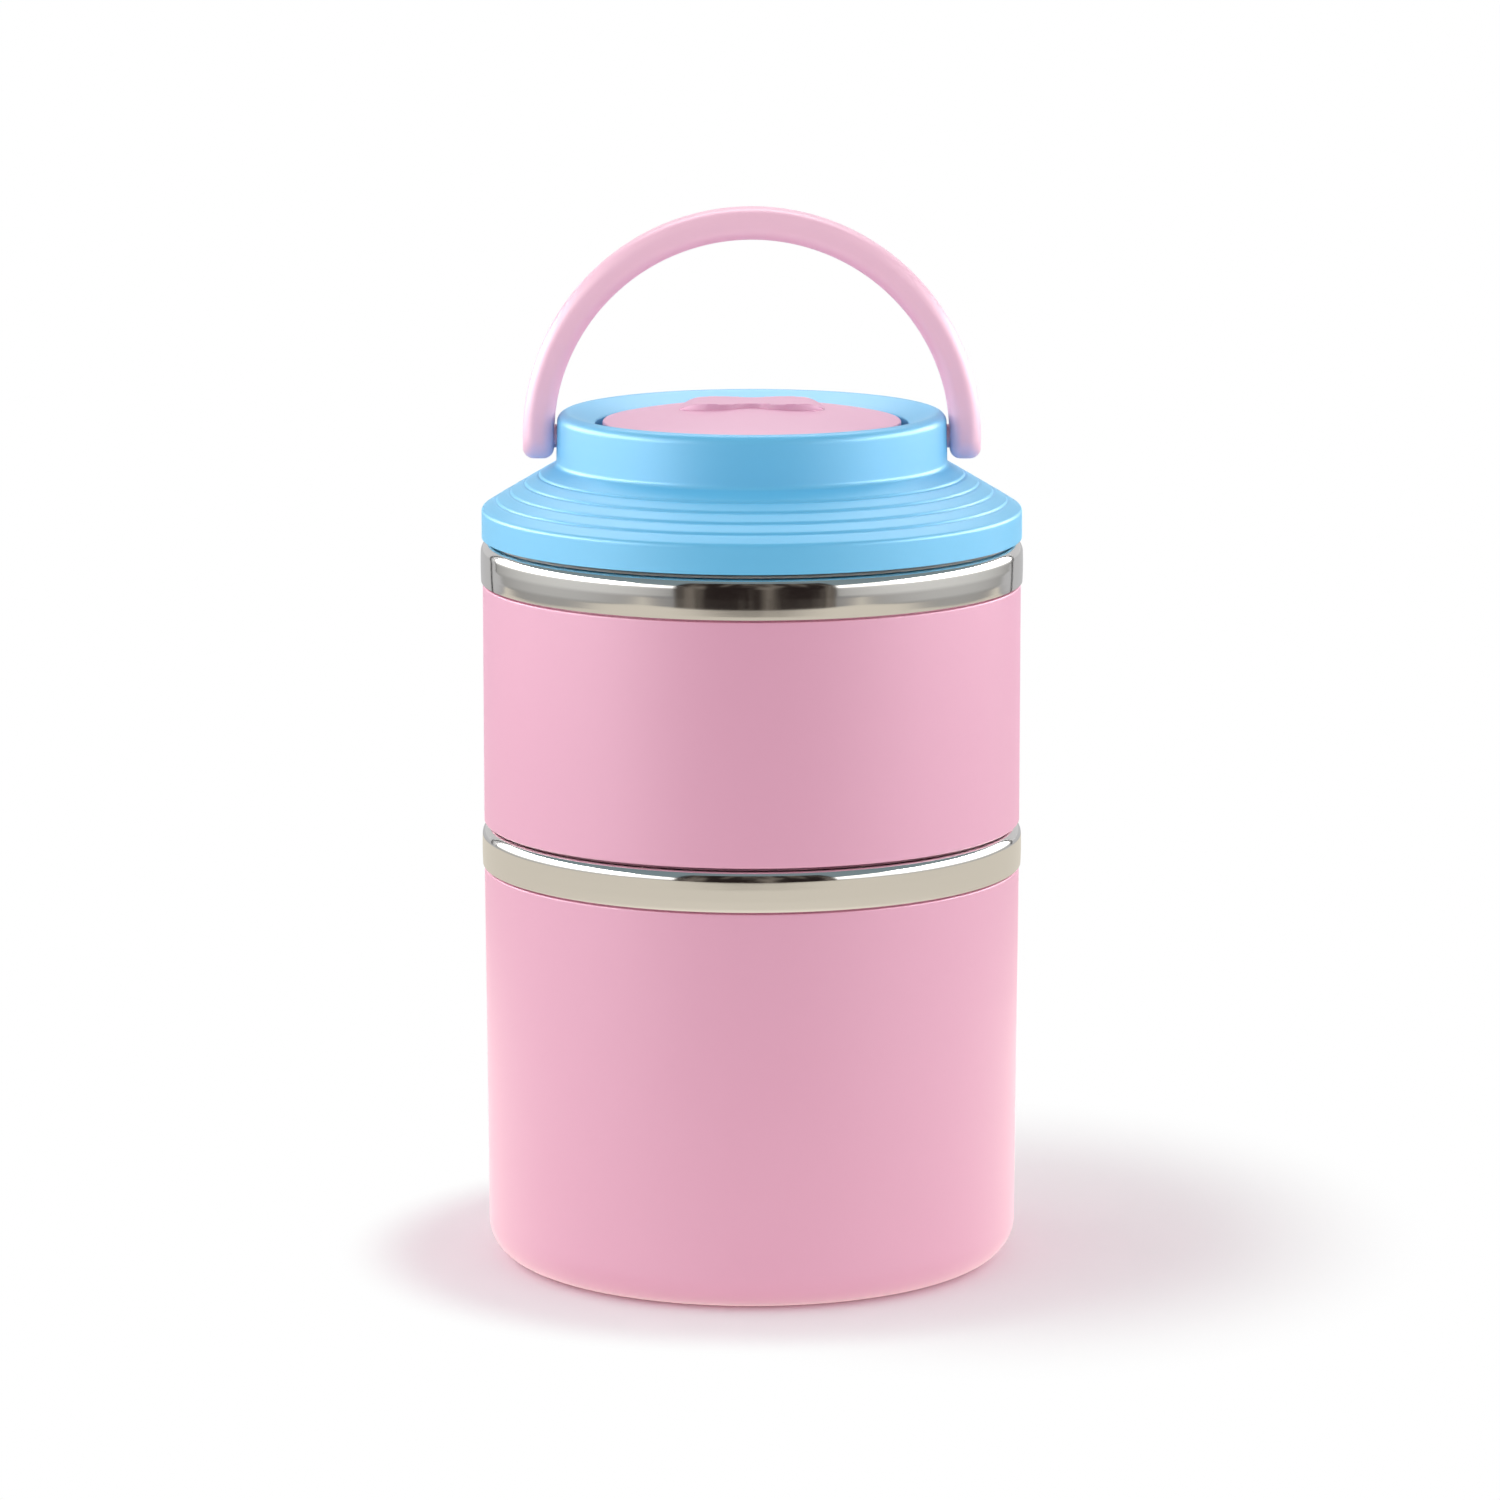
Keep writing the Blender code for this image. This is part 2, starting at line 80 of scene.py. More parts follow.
# Plastic shells.
SEAT_GAP = 0.0003
SHELL_WALL = 0.0018
SHELL_NECK = BODY_RADIUS - SHEET - SEAT_GAP
SHELL_LIP = BAND_ROUND - SHEET
DRAFT = 0.0007
FOOT_ROUND = 0.009
FOOT_WIDTH = 0.006
FOOT_RECESS = 0.001
EDGE_ROUND = 0.0006
TOP_EDGE_ROUND = 0.0004
NECK_GROOVE = 0.0009
LIP_WALL = 0.0009  # the walls of the lid and the upper shell thin at their lower edges
LIP_DEPTH = 0.003

# Screw plugs, threads and seals.
PLUG_WALL = 0.0018
PLUG_RADIUS = NECK_RADIUS - 0.0015
PLUG_DEPTH = 0.0126
FLANGE_BEVEL = (0.002, 0.0011)  # width and height
GROOVE_DEPTH = 0.0104
SEAL_WIDTH = 0.0019
SEAL_HEIGHT = 0.0023
SEAL_INSET = 0.0001
THREAD_STARTS = 4
THREAD_LEAD = 0.016
RIB_TURN = math.radians(72)
RIB_STEPS = 36
RIB_WIDTH = 0.0013
RIB_CREST = 0.0009
RIB_HEIGHT = 0.0011
RIB_DROP = 0.007
THREAD_SHIFT = 0.0014
RIB_FADE = 0.12  # share of a rib's length over which each end fades out
TURN_GAP = 0.0004

# Lid.
LID_WALL = 0.002
SHOULDER_EDGE = LID_EDGE + 0.0071
SHOULDER_SLOPE = 0.596
COLLAR_RADIUS = 0.0485
COLLAR_FOOT = SHOULDER_EDGE + SHOULDER_SLOPE * (LID_RADIUS - COLLAR_RADIUS)
COLLAR_DRAFT = 0.0003
CREST_INSIDE = COLLAR_RADIUS - 0.0032
FUNNEL_DROP = 0.0027
WELL_RADIUS = DISC_RADIUS + 0.0018
WELL_FLOOR = COLLAR_TOP - 0.008
STEM_RADIUS = 0.003
STEM_HOLE = 0.0036
RIDGES = (0.0528, 0.0563, 0.0599, 0.0634)  # radius of each step on the shoulder
RIDGE_DEPTH = 0.00038
RIDGE_WIDTH = 0.0011

# Vent disc.
DISC_EDGE = COLLAR_TOP - 0.0022
DISC_WALL = 0.0018
DOME = 0.004
PAD_LENGTH = 0.0374
PAD_WIDTH = 0.017
PAD_NOTCH = 0.0024
PAD_WAIST = 0.42  # share of the half length over which the notch reaches
PAD_FLAT = 0.68  # share of the half length at which the top starts to sink
PAD_SINK = 0.0026
PAD_EDGE_ROUND = 0.0004
VENT_BORE = 0.004
VENT_SEAT = STOPPER_TOP - 0.0041
STOPPER_RADIUS = 0.0058
SOCKET_DEPTH = 0.0024
CHIMNEY_RADIUS = 0.0065
CHIMNEY_WALL = 0.0018
CHIMNEY_TOP = STOPPER_TOP + 0.004

# Bail.
BAIL_THICK = 0.0077
BAIL_DEPTH = 0.012
BAIL_ROUND = 0.003
BAIL_MIDDLE = BAIL_OUTSIDE - BAIL_THICK / 2
PIVOT = BAIL_TOP - BAIL_OUTSIDE
BAIL_DROP = PIVOT - BAIL_TIP
TRUNNION_RADIUS = 0.0029
TRUNNION_END = 0.0446
SOCKET_WALL = 0.0012

# Fineness.
STEPS = 192
HIDDEN_STEPS = 96
CORNER_STEP = math.radians(7)
ARC_STEP = 0.0022
PIN_STEPS = 64
RING_STEPS = 128
TIP_STEPS = 14  # slices that round the tip of each arm of the bail
TIP_ANGLE = math.radians(86)  # where the slices end, on their quarter circle
SHARP = math.radians(34)

# Finishes. A scale is in cycles over one metre.
CLOUD_SCALE = 26
RUBBED_SCALE = 260
RUBBED_STRETCH = 9
PEEL_SCALE = 900
GRAIN_SCALE = 5200
GRAIN_SHARE = 0.12
CLOUD_SHARE = 0.75
WEAR_SHARE = 0.12
LINE_SCALE = 5200
LINE_RUN = 0.02  # how little a hairline changes along its way round
LINE_SHARE = 0.06
SMEAR_SCALE = 42
SMEAR_SHARE = 0.35
PLASTIC_RELIEF = 0.00003
STEEL_RELIEF = 0.00001
PLASTIC_IOR = 1.49
PLASTIC_SHEEN = 1.0

# Stage.
FLOOR_SIZE = 12
FLOOR_COLOUR = (0.95, 0.945, 0.945)
FLOOR_ROUGHNESS = 0.9
SHADOW_CENTRE = (0.06, 0.02)
SHADOW_STRETCH = (1.3, 1)
SHADOW_REACH = (0.06, 0.15)  # distances over which the floor turns to plain white
CONTACT_REACH = (0.08, 0.105)
# Painted reflection: glossy rays see the floor as a glowing pale table on painted grey floor, not
# as the lit floor.
TABLE_HALF = 0.86
TABLE_FRONT = -0.85
TABLE_BACK = 0.6
PAINTED_TABLE_REFLECTION = (0.74, 0.69, 0.60, 1)
PAINTED_GLOW_REACH = (0.28, 0.44)  # painted pool of light in the middle of the table, as the lowest shell reflects it
PAINTED_GLOW_BOOST = 1.6
NEAR_FLOOR = (0.26, 0.26, 0.265, 1)
FAR_FLOOR = (0.55, 0.55, 0.56, 1)
FAR_FLOOR_FROM = (0.4, 0.8)
# Painted reflection: a sheet between the camera and the object, seen only in reflections, that
# glows dark with paler upright frames.
PAINTED_DARK_PLACE = (0.03, TABLE_FRONT, 0.6)
PAINTED_DARK_WIDTH = 1.1
PAINTED_DARK_HEIGHT = 1.2
PAINTED_DARK_REFLECTION = (0.02, 0.014, 0.013, 1)
PAINTED_FRAME_REFLECTION = (0.20, 0.175, 0.15, 1)
FRAME_TONES_FROM = (0.42, 0.66)
FRAME_SCALE = 9
FRAME_STRETCH = 0.12
ROOM_LIGHT = (0.53, 0.53, 0.533, 1)
FRONT_LIGHT = (0.6, 0.6, 0.61, 1)
HIGH_LIGHT = (0.22, 0.29, 0.32, 1)
BACK_LIGHT = (0.66, 0.66, 0.67, 1)
OVERHEAD_LIGHT = (4.5, 4.5, 4.5, 1)
SOFTBOX_REACH = 0.9
SOFTBOX_LENGTH = 2.41
SOFTBOX_DIP = 0.25
FACE_TOP = 0.62
FACE_STEPS = (  # height and brightness
    (0.0, 0.24),
    (0.04, 0.38),
    (0.09, 0.56),
    (0.15, 0.9),
    (0.24, 1.3),
    (1.0, 1.5),
)
FACE_WARMTH = 0.985  # share of blue
FACE_BOOST = 4.6
BOOST_HEIGHTS = (0.1, 0.42)
BOOST_SOFTNESS = 0.08
FRAME_WIDTH = 0.03
FRAME_SOFTNESS = 0.004
FRAME_GLOW = 0.06
# Painted reflection: thin dark uprights, seen only in reflections, that put a dark line into the
# steel bands.
STAND_REACH = 0.5
STAND_ASIDE = 0.67
STAND_BEHIND = 0.74
STAND_MIDDLE = 0.21
STAND_WIDTH = 0.02
STAND_HEIGHT = 0.3
PAINTED_LINE_COLOUR = (0.02, 0.02, 0.02, 1)
CAMERA_PLACE = (-0.00045, -1.635, 0.417)
CAMERA_TILT = math.radians(79.97)
CAMERA_LENS = 159.4
CAMERA_SENSOR = 36


# Shapes.


def keep(name, shape):
    """An object made from a bmesh."""
    mesh = bpy.data.meshes.new(name)
    shape.to_mesh(mesh)
    shape.free()
    piece = bpy.data.objects.new(name, mesh)
    bpy.context.scene.collection.objects.link(piece)
    return piece


def settle(piece):
    """Puts a piece's modifiers into its mesh."""
    bpy.context.view_layer.update()
    graph = bpy.context.evaluated_depsgraph_get()
    made = bpy.data.meshes.new_from_object(piece.evaluated_get(graph))
    piece.modifiers.clear()
    piece.data = made


def join(piece, helper, operation):
    """Adds a helper to a piece, or cuts it away."""
    change = piece.modifiers.new("join", "BOOLEAN")
    change.operation = operation
    change.solver = "MANIFOLD"
    change.object = helper
    settle(piece)
    bpy.data.objects.remove(helper)


def rounding(point, radius):
    """Distance from a corner at which a rounding starts, and its number of facets."""
    ways = [edge.other_vert(point).co - point.co for edge in point.link_edges]
    turn = math.pi - ways[0].angle(ways[1])
    facets = max(2, round(turn / CORNER_STEP), round(radius * turn / ARC_STEP))
    return radius * math.tan(turn / 2), facets


def support(shape, reach=0.0004):
    """Adds a point near each end of each long straight stretch, which keeps its shading flat."""
    for edge in list(shape.edges):
        length = edge.calc_length()
        if length < 4 * reach:
            continue
        far = edge.verts[1]
        near_point = bmesh.utils.edge_split(edge, edge.verts[0], reach / length)[1]
        rest = [link for link in near_point.link_edges if far in link.verts][0]
        bmesh.utils.edge_split(rest, far, reach / (length - reach))


def outline(corners, closed=True):
    """An outline on the XZ plane, with corners (radius, height) or (radius, height, rounding)."""
    shape = bmesh.new()
    points = [shape.verts.new((corner[0], 0, corner[1])) for corner in corners]
    pairs = list(zip(points, points[1:]))
    if closed and (corners[0][0] > 0 or corners[-1][0] > 0):
        pairs.append((points[-1], points[0]))
    for pair in pairs:
        shape.edges.new(pair)
    for point, corner in zip(points, corners):
        if len(corner) == 3:
            offset, facets = rounding(point, corner[2])
            bmesh.ops.bevel(
                shape,
                geom=[point],
                offset=offset,
                offset_type="OFFSET",
                segments=facets,
                profile=0.5,
                affect="VERTICES",
                material=-1,
            )
    support(shape)
    return shape


def spin_round(shape, steps=STEPS):
    bmesh.ops.spin(
        shape,
        geom=shape.verts[:] + shape.edges[:],
        cent=(0, 0, 0),
        axis=(0, 0, 1),
        angle=math.tau,
        steps=steps,
        use_merge=True,
    )
    bmesh.ops.remove_doubles(shape, verts=shape.verts, dist=1e-6)
    bmesh.ops.recalc_face_normals(shape, faces=shape.faces)


def turned(name, corners, steps=STEPS):
    """A solid turned about Z from a closed outline."""
    shape = outline(corners)
    spin_round(shape, steps)
    return keep(name, shape)


def turned_sheet(name, corners, thickness):
    """A turned skin of one thickness, whose outer face is an open outline."""
    shape = outline(corners, closed=False)
    spin_round(shape)
    widest = None
    for face in shape.faces:
        middle = face.calc_center_median()
        reach = math.hypot(middle.x, middle.y)
        if abs(face.normal.z) < 0.5 and (widest is None or reach > widest[0]):
            widest = (reach, face.normal.dot(middle))
    if widest[1] < 0:
        bmesh.ops.reverse_faces(shape, faces=shape.faces)
    piece = keep(name, shape)
    wall = piece.modifiers.new("wall", "SOLIDIFY")
    wall.thickness = thickness
    wall.offset = -1
    wall.use_even_offset = True
    settle(piece)
    return piece


def rod(name, radius, start, end, height):
    """A rod along X between two places."""
    shape = bmesh.new()
    place = Matrix.Translation(((start + end) / 2, 0, height))
    bmesh.ops.create_cone(
        shape,
        cap_ends=True,
        segments=PIN_STEPS,
        radius1=radius,
        radius2=radius,
        depth=abs(end - start),
        matrix=place @ Matrix.Rotation(math.pi / 2, 4, "Y"),
    )
    return keep(name, shape)


def thread(name, root, crest, lowest):
    """Four helical ribs that fade out at their ends."""
    shape = bmesh.new()
    for start in range(THREAD_STARTS):
        section = (
            (root, -RIB_WIDTH / 2),
            (crest, -RIB_CREST / 2),
            (crest, RIB_CREST / 2),
            (root, RIB_WIDTH / 2),
        )
        corners = [shape.verts.new((radius, 0, lowest + height)) for radius, height in section]
        face = shape.faces.new(corners)
        first = Matrix.Rotation(math.tau * start / THREAD_STARTS, 3, "Z")
        bmesh.ops.rotate(shape, verts=corners, matrix=first)
        before = set(shape.verts) - set(corners)
        bmesh.ops.spin(
            shape,
            geom=[face] + face.edges[:] + corners,
            cent=(0, 0, 0),
            axis=(0, 0, 1),
            dvec=(0, 0, THREAD_LEAD * RIB_TURN / math.tau / RIB_STEPS),
            angle=RIB_TURN,
            steps=RIB_STEPS,
        )
        for point in set(shape.verts) - before:
            place = first.inverted() @ point.co
            along = math.atan2(place.y, place.x) / RIB_TURN
            fade = min(1, along / RIB_FADE + 0.02, (1 - along) / RIB_FADE + 0.02)
            radius = math.hypot(place.x, place.y)
            if abs(radius - crest) < abs(root - crest) / 4:
                share = 0.25 + 0.75 * math.sin(max(0, fade) * math.pi / 2)
                wanted = root + (crest - root) * share
                point.co.x *= wanted / radius
                point.co.y *= wanted / radius
    bmesh.ops.recalc_face_normals(shape, faces=shape.faces)
    return keep(name, shape)


def finish_piece(piece, body, material, node):
    """Smooths, paints and places a piece, and hides the part that it stands for."""
    piece.data.materials.clear()
    piece.data.materials.append(material)
    for face in piece.data.polygons:
        face.use_smooth = True
        face.material_index = 0
    piece.data.set_sharp_from_angle(angle=SHARP)
    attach(piece, body)
    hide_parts(node)


# Pieces.


def make_liner(name, rim, floor):
    """A drawn steel bowl whose rim is rolled outwards and down to make the band."""
    corners = [
        (BODY_RADIUS - BAND_CROWN, rim - BAND_HEIGHT + BAND_GAP),
        (BODY_RADIUS, rim - BAND_HEIGHT * BAND_SWELL, BAND_CURVE),
        (BODY_RADIUS - BAND_CROWN * 1.4, rim, BAND_ROUND),
        (NECK_RADIUS, rim, MOUTH_ROUND),
        (NECK_RADIUS, rim - NECK_DEPTH, LEDGE_ROUND),
        (BOWL_RADIUS, rim - NECK_DEPTH, LEDGE_ROUND),
        (BOWL_RADIUS, floor, BOWL_ROUND),
        (0, floor),
    ]
    liner = turned_sheet(name, corners, SHEET)
    root = NECK_RADIUS + SHEET / 2
    ribs = thread(f"{name}_ribs", root, NECK_RADIUS - RIB_HEIGHT, rim - RIB_DROP)
    join(liner, ribs, "UNION")
    return liner


def shell_top(rim):
    step = rim - BAND_HEIGHT - SEAT_GAP
    top = rim - SHEET - SEAT_GAP
    return [
        (SHELL_RADIUS, step, TOP_EDGE_ROUND),
        (SHELL_NECK, step),
        (SHELL_NECK, top, SHELL_LIP - SEAT_GAP),
        (SHELL_NECK - SHELL_LIP, top),
    ]


def cut_band_groove(shell, rim):
    """Cuts the groove that the band's lower edge hangs in front of, which reads as a dark line."""
    step = rim - BAND_HEIGHT - SEAT_GAP
    corners = [
        (SHELL_NECK - NECK_GROOVE, step),
        (SHELL_NECK + SEAT_GAP / 2, step),
        (SHELL_NECK + SEAT_GAP / 2, step + NECK_GROOVE),
        (SHELL_NECK - NECK_GROOVE, step + NECK_GROOVE),
    ]
    join(shell, turned("groove", corners), "DIFFERENCE")
    return shell


def make_lower_shell():
    foot_radius = SHELL_RADIUS - DRAFT
    ring = foot_radius - FOOT_ROUND - FOOT_WIDTH
    corners = [
        (0, FOOT_RECESS),
        (ring - FOOT_RECESS, FOOT_RECESS, 0.0006),
        (ring, 0, 0.0006),
        (foot_radius, 0, FOOT_ROUND),
    ] + shell_top(LOWER_RIM)
    return cut_band_groove(turned_sheet("lower_shell_fine", corners, SHELL_WALL), LOWER_RIM)


def make_upper_shell():
    inside = SHELL_RADIUS - SHELL_WALL
    lip_inside = SHELL_NECK - SHELL_LIP
    lip_foot = UPPER_RIM - BAND_HEIGHT - SEAT_GAP - SHELL_LIP
    corners = (
        [
            (inside, UPPER_FOOT + LIP_DEPTH),
            (SHELL_RADIUS - LIP_WALL, UPPER_FOOT + LIP_DEPTH),
            (SHELL_RADIUS - LIP_WALL, UPPER_FOOT, 0.0001),
            (SHELL_RADIUS, UPPER_FOOT, EDGE_ROUND),
        ]
        + shell_top(UPPER_RIM)
        + [(lip_inside, lip_foot), (inside, lip_foot)]
    )
    return cut_band_groove(turned("upper_shell_fine", corners), UPPER_RIM)


def plug_under(rim, flange, middle):
    """Underside of a screw plug, from the middle out: floor, seal groove, wall and flange."""
    groove = PLUG_RADIUS - SEAL_INSET - SEAL_WIDTH - SEAT_GAP
    return [
        (middle, rim - PLUG_DEPTH),
        (groove, rim - PLUG_DEPTH, 0.0003),
        (groove, rim - GROOVE_DEPTH),
        (PLUG_RADIUS, rim - GROOVE_DEPTH, 0.0002),
        (PLUG_RADIUS, rim + SEAT_GAP),
        (flange - FLANGE_BEVEL[0], rim + SEAT_GAP),
        (flange, rim + SEAT_GAP + FLANGE_BEVEL[1]),
    ]


def plug_over(rim, flange, middle):
    """Upper side of a screw plug, from the flange in."""
    groove = PLUG_RADIUS - SEAL_INSET - SEAL_WIDTH - SEAT_GAP - PLUG_WALL
    return [
        (flange, rim + SEAT_GAP + PLUG_WALL, 0.0003),
        (PLUG_RADIUS - PLUG_WALL, rim + SEAT_GAP + PLUG_WALL, 0.0004),
        (PLUG_RADIUS - PLUG_WALL, rim - GROOVE_DEPTH + PLUG_WALL),
        (groove, rim - GROOVE_DEPTH + PLUG_WALL),
        (groove, rim - PLUG_DEPTH + PLUG_WALL),
        (middle, rim - PLUG_DEPTH + PLUG_WALL),
    ]


def add_plug_thread(plug, rim):
    root = PLUG_RADIUS - PLUG_WALL / 2
    ribs = thread(f"{plug.name}_ribs", root, NECK_RADIUS - TURN_GAP, rim - RIB_DROP - THREAD_SHIFT)
    join(plug, ribs, "UNION")


def make_base_plug():
    flange = SHELL_RADIUS - SHELL_WALL - SEAT_GAP
    corners = plug_under(LOWER_RIM, flange, 0) + plug_over(LOWER_RIM, flange, 0)
    plug = turned("upper_base_plug_fine", corners, HIDDEN_STEPS)
    add_plug_thread(plug, LOWER_RIM)
    return plug


def make_lid_plate():
    flange = LID_RADIUS - LID_WALL - SEAT_GAP
    outside = CHIMNEY_RADIUS + CHIMNEY_WALL
    chimney = [
        (outside, CHIMNEY_TOP, 0.0004),
        (CHIMNEY_RADIUS, CHIMNEY_TOP, 0.0004),
        (CHIMNEY_RADIUS, VENT_SEAT),
        (VENT_BORE, VENT_SEAT),
    ]
    corners = (
        plug_under(UPPER_RIM, flange, VENT_BORE) + plug_over(UPPER_RIM, flange, outside) + chimney
    )
    plate = turned("lid_inner_plate_fine", corners, HIDDEN_STEPS)
    add_plug_thread(plate, UPPER_RIM)
    return plate


def make_seal(name, rim):
    low = rim - NECK_DEPTH + SEAT_GAP
    outside = PLUG_RADIUS - SEAL_INSET
    corners = [
        (outside - SEAL_WIDTH, low, 0.0005),
        (outside, low, 0.0007),
        (outside, low + SEAL_HEIGHT, 0.0004),
        (outside - SEAL_WIDTH, low + SEAL_HEIGHT, 0.0004),
    ]
    return turned(name, corners, HIDDEN_STEPS)


def shoulder():
    """The lid's sloping shoulder, from the rim in, with a fine step at each ridge."""
    points = []
    half = RIDGE_WIDTH / 2
    rise = SHOULDER_SLOPE * half
    for radius in reversed(RIDGES):
        height = SHOULDER_EDGE + SHOULDER_SLOPE * (LID_RADIUS - radius)
        points += [
            (radius + half, height - rise + RIDGE_DEPTH * 0.25, 0.0012),
            (radius + half * 0.1, height - RIDGE_DEPTH * 0.75, 0.0002),
            (radius - half * 0.5, height + rise * 0.5 + RIDGE_DEPTH * 0.35, 0.0006),
        ]
    return points


def make_lid_cover():
    corners = (
        [
            (LID_RADIUS, LID_EDGE),
            (LID_RADIUS, SHOULDER_EDGE, 0.0012),
        ]
        + shoulder()
        + [
            (COLLAR_RADIUS, COLLAR_FOOT, 0.0016),
            (COLLAR_RADIUS - COLLAR_DRAFT, COLLAR_TOP, 0.0024),
            (CREST_INSIDE, COLLAR_TOP, 0.004),
            (WELL_RADIUS, COLLAR_TOP - FUNNEL_DROP, 0.0005),
            (WELL_RADIUS, WELL_FLOOR, 0.0006),
            (STEM_HOLE, WELL_FLOOR),
        ]
    )
    cover = turned_sheet("lid_cover_fine", corners, LID_WALL)
    within = LID_RADIUS - LID_WALL - 0.001
    under = LID_EDGE - 0.001
    groove = [
        (within, under),
        (LID_RADIUS - LIP_WALL, under),
        (LID_RADIUS - LIP_WALL, LID_EDGE + LIP_DEPTH, 0.0004),
        (within, LID_EDGE + LIP_DEPTH),
    ]
    join(cover, turned("groove", groove), "DIFFERENCE")
    socket_radius = TRUNNION_RADIUS + SEAT_GAP
    socket_floor = TRUNNION_END - SEAT_GAP
    for side in (-1, 1):
        boss = rod(
            "boss",
            socket_radius + SOCKET_WALL,
            side * (socket_floor - SOCKET_WALL),
            side * (COLLAR_RADIUS - LID_WALL / 2),
            PIVOT,
        )
        join(cover, boss, "UNION")
        mouth = side * (COLLAR_RADIUS + 0.002)
        hole = rod("hole", socket_radius, side * socket_floor, mouth, PIVOT)
        join(cover, hole, "DIFFERENCE")
    return cover


def pad_top(across):
    """Height of the pad's top, which sinks towards its ends."""
    sink = max(0, (abs(across) - PAD_FLAT) / (1 - PAD_FLAT)) ** 2
    return PAD_TOP - PAD_SINK * sink


def make_pad():
    """The grip pad: a long bar with rounded ends, drawn in at its middle like a bow."""
    shape = bmesh.new()
    bmesh.ops.create_grid(shape, x_segments=72, y_segments=16, size=1)
    for point in shape.verts:
        across, along = math.sin(point.co.x * math.pi / 2), point.co.y
        waist = PAD_NOTCH * (1 + math.cos(math.pi * min(1, abs(across) / PAD_WAIST))) / 2
        width = (PAD_WIDTH / 2 - waist) * math.sqrt(max(0, 1 - abs(across) ** 3))
        point.co = (PAD_LENGTH / 2 * across, width * along, DISC_EDGE + DOME / 2)
    bmesh.ops.remove_doubles(shape, verts=shape.verts, dist=1e-5)
    whole = shape.faces[:] + shape.edges[:] + shape.verts[:]
    raised = bmesh.ops.extrude_face_region(shape, geom=whole)
    lifted = {part for part in raised["geom"] if isinstance(part, bmesh.types.BMVert)}
    for point in lifted:
        point.co.z = pad_top(2 * point.co.x / PAD_LENGTH)
    rim = [
        edge
        for edge in shape.edges
        if lifted.issuperset(edge.verts)
        and any(not lifted.issuperset(face.verts) for face in edge.link_faces)
    ]
    bmesh.ops.bevel(
        shape,
        geom=rim,
        offset=PAD_EDGE_ROUND,
        offset_type="OFFSET",
        segments=4,
        profile=0.5,
        affect="EDGES",
        material=-1,
    )
    bmesh.ops.recalc_face_normals(shape, faces=shape.faces)
    return keep("pad", shape)


def make_vent_cap():
    """The domed disc, its skirt, its grip pad and the stem that carries the stopper."""
    dome_radius = (DISC_RADIUS**2 + DOME**2) / (2 * DOME)
    tangent = DISC_RADIUS - DOME / math.tan(math.asin(DISC_RADIUS / dome_radius))
    under = DISC_RADIUS - DISC_WALL
    crown = DISC_EDGE + DOME
    corners = [
        (under, WELL_FLOOR + SEAT_GAP),
        (DISC_RADIUS, WELL_FLOOR + SEAT_GAP, 0.0002),
        (DISC_RADIUS, DISC_EDGE, 0.0005),
        (tangent, crown, dome_radius * 0.96),
        (0, crown),
        (0, STEM_END),
        (STEM_RADIUS, STEM_END, 0.0003),
        (STEM_RADIUS, crown - DISC_WALL - 0.0002, 0.001),
        (tangent, crown - DISC_WALL, dome_radius * 0.7),
        (under, DISC_EDGE - DISC_WALL, 0.0005),
    ]
    cap = turned("vent_cap_fine", corners)
    join(cap, make_pad(), "UNION")
    return cap


def make_stopper():
    nose = VENT_BORE - SEAT_GAP
    low = VENT_SEAT + SEAT_GAP
    socket = STEM_RADIUS + SEAT_GAP
    socket_floor = STOPPER_TOP - SOCKET_DEPTH
    corners = [
        (0, STOPPER_NOSE),
        (nose, STOPPER_NOSE, 0.0012),
        (nose, low),
        (STOPPER_RADIUS, low, 0.0003),
        (STOPPER_RADIUS, STOPPER_TOP, 0.0005),
        (socket, STOPPER_TOP),
        (socket, socket_floor),
        (0, socket_floor),
    ]
    return turned("vent_plug_fine", corners, HIDDEN_STEPS)


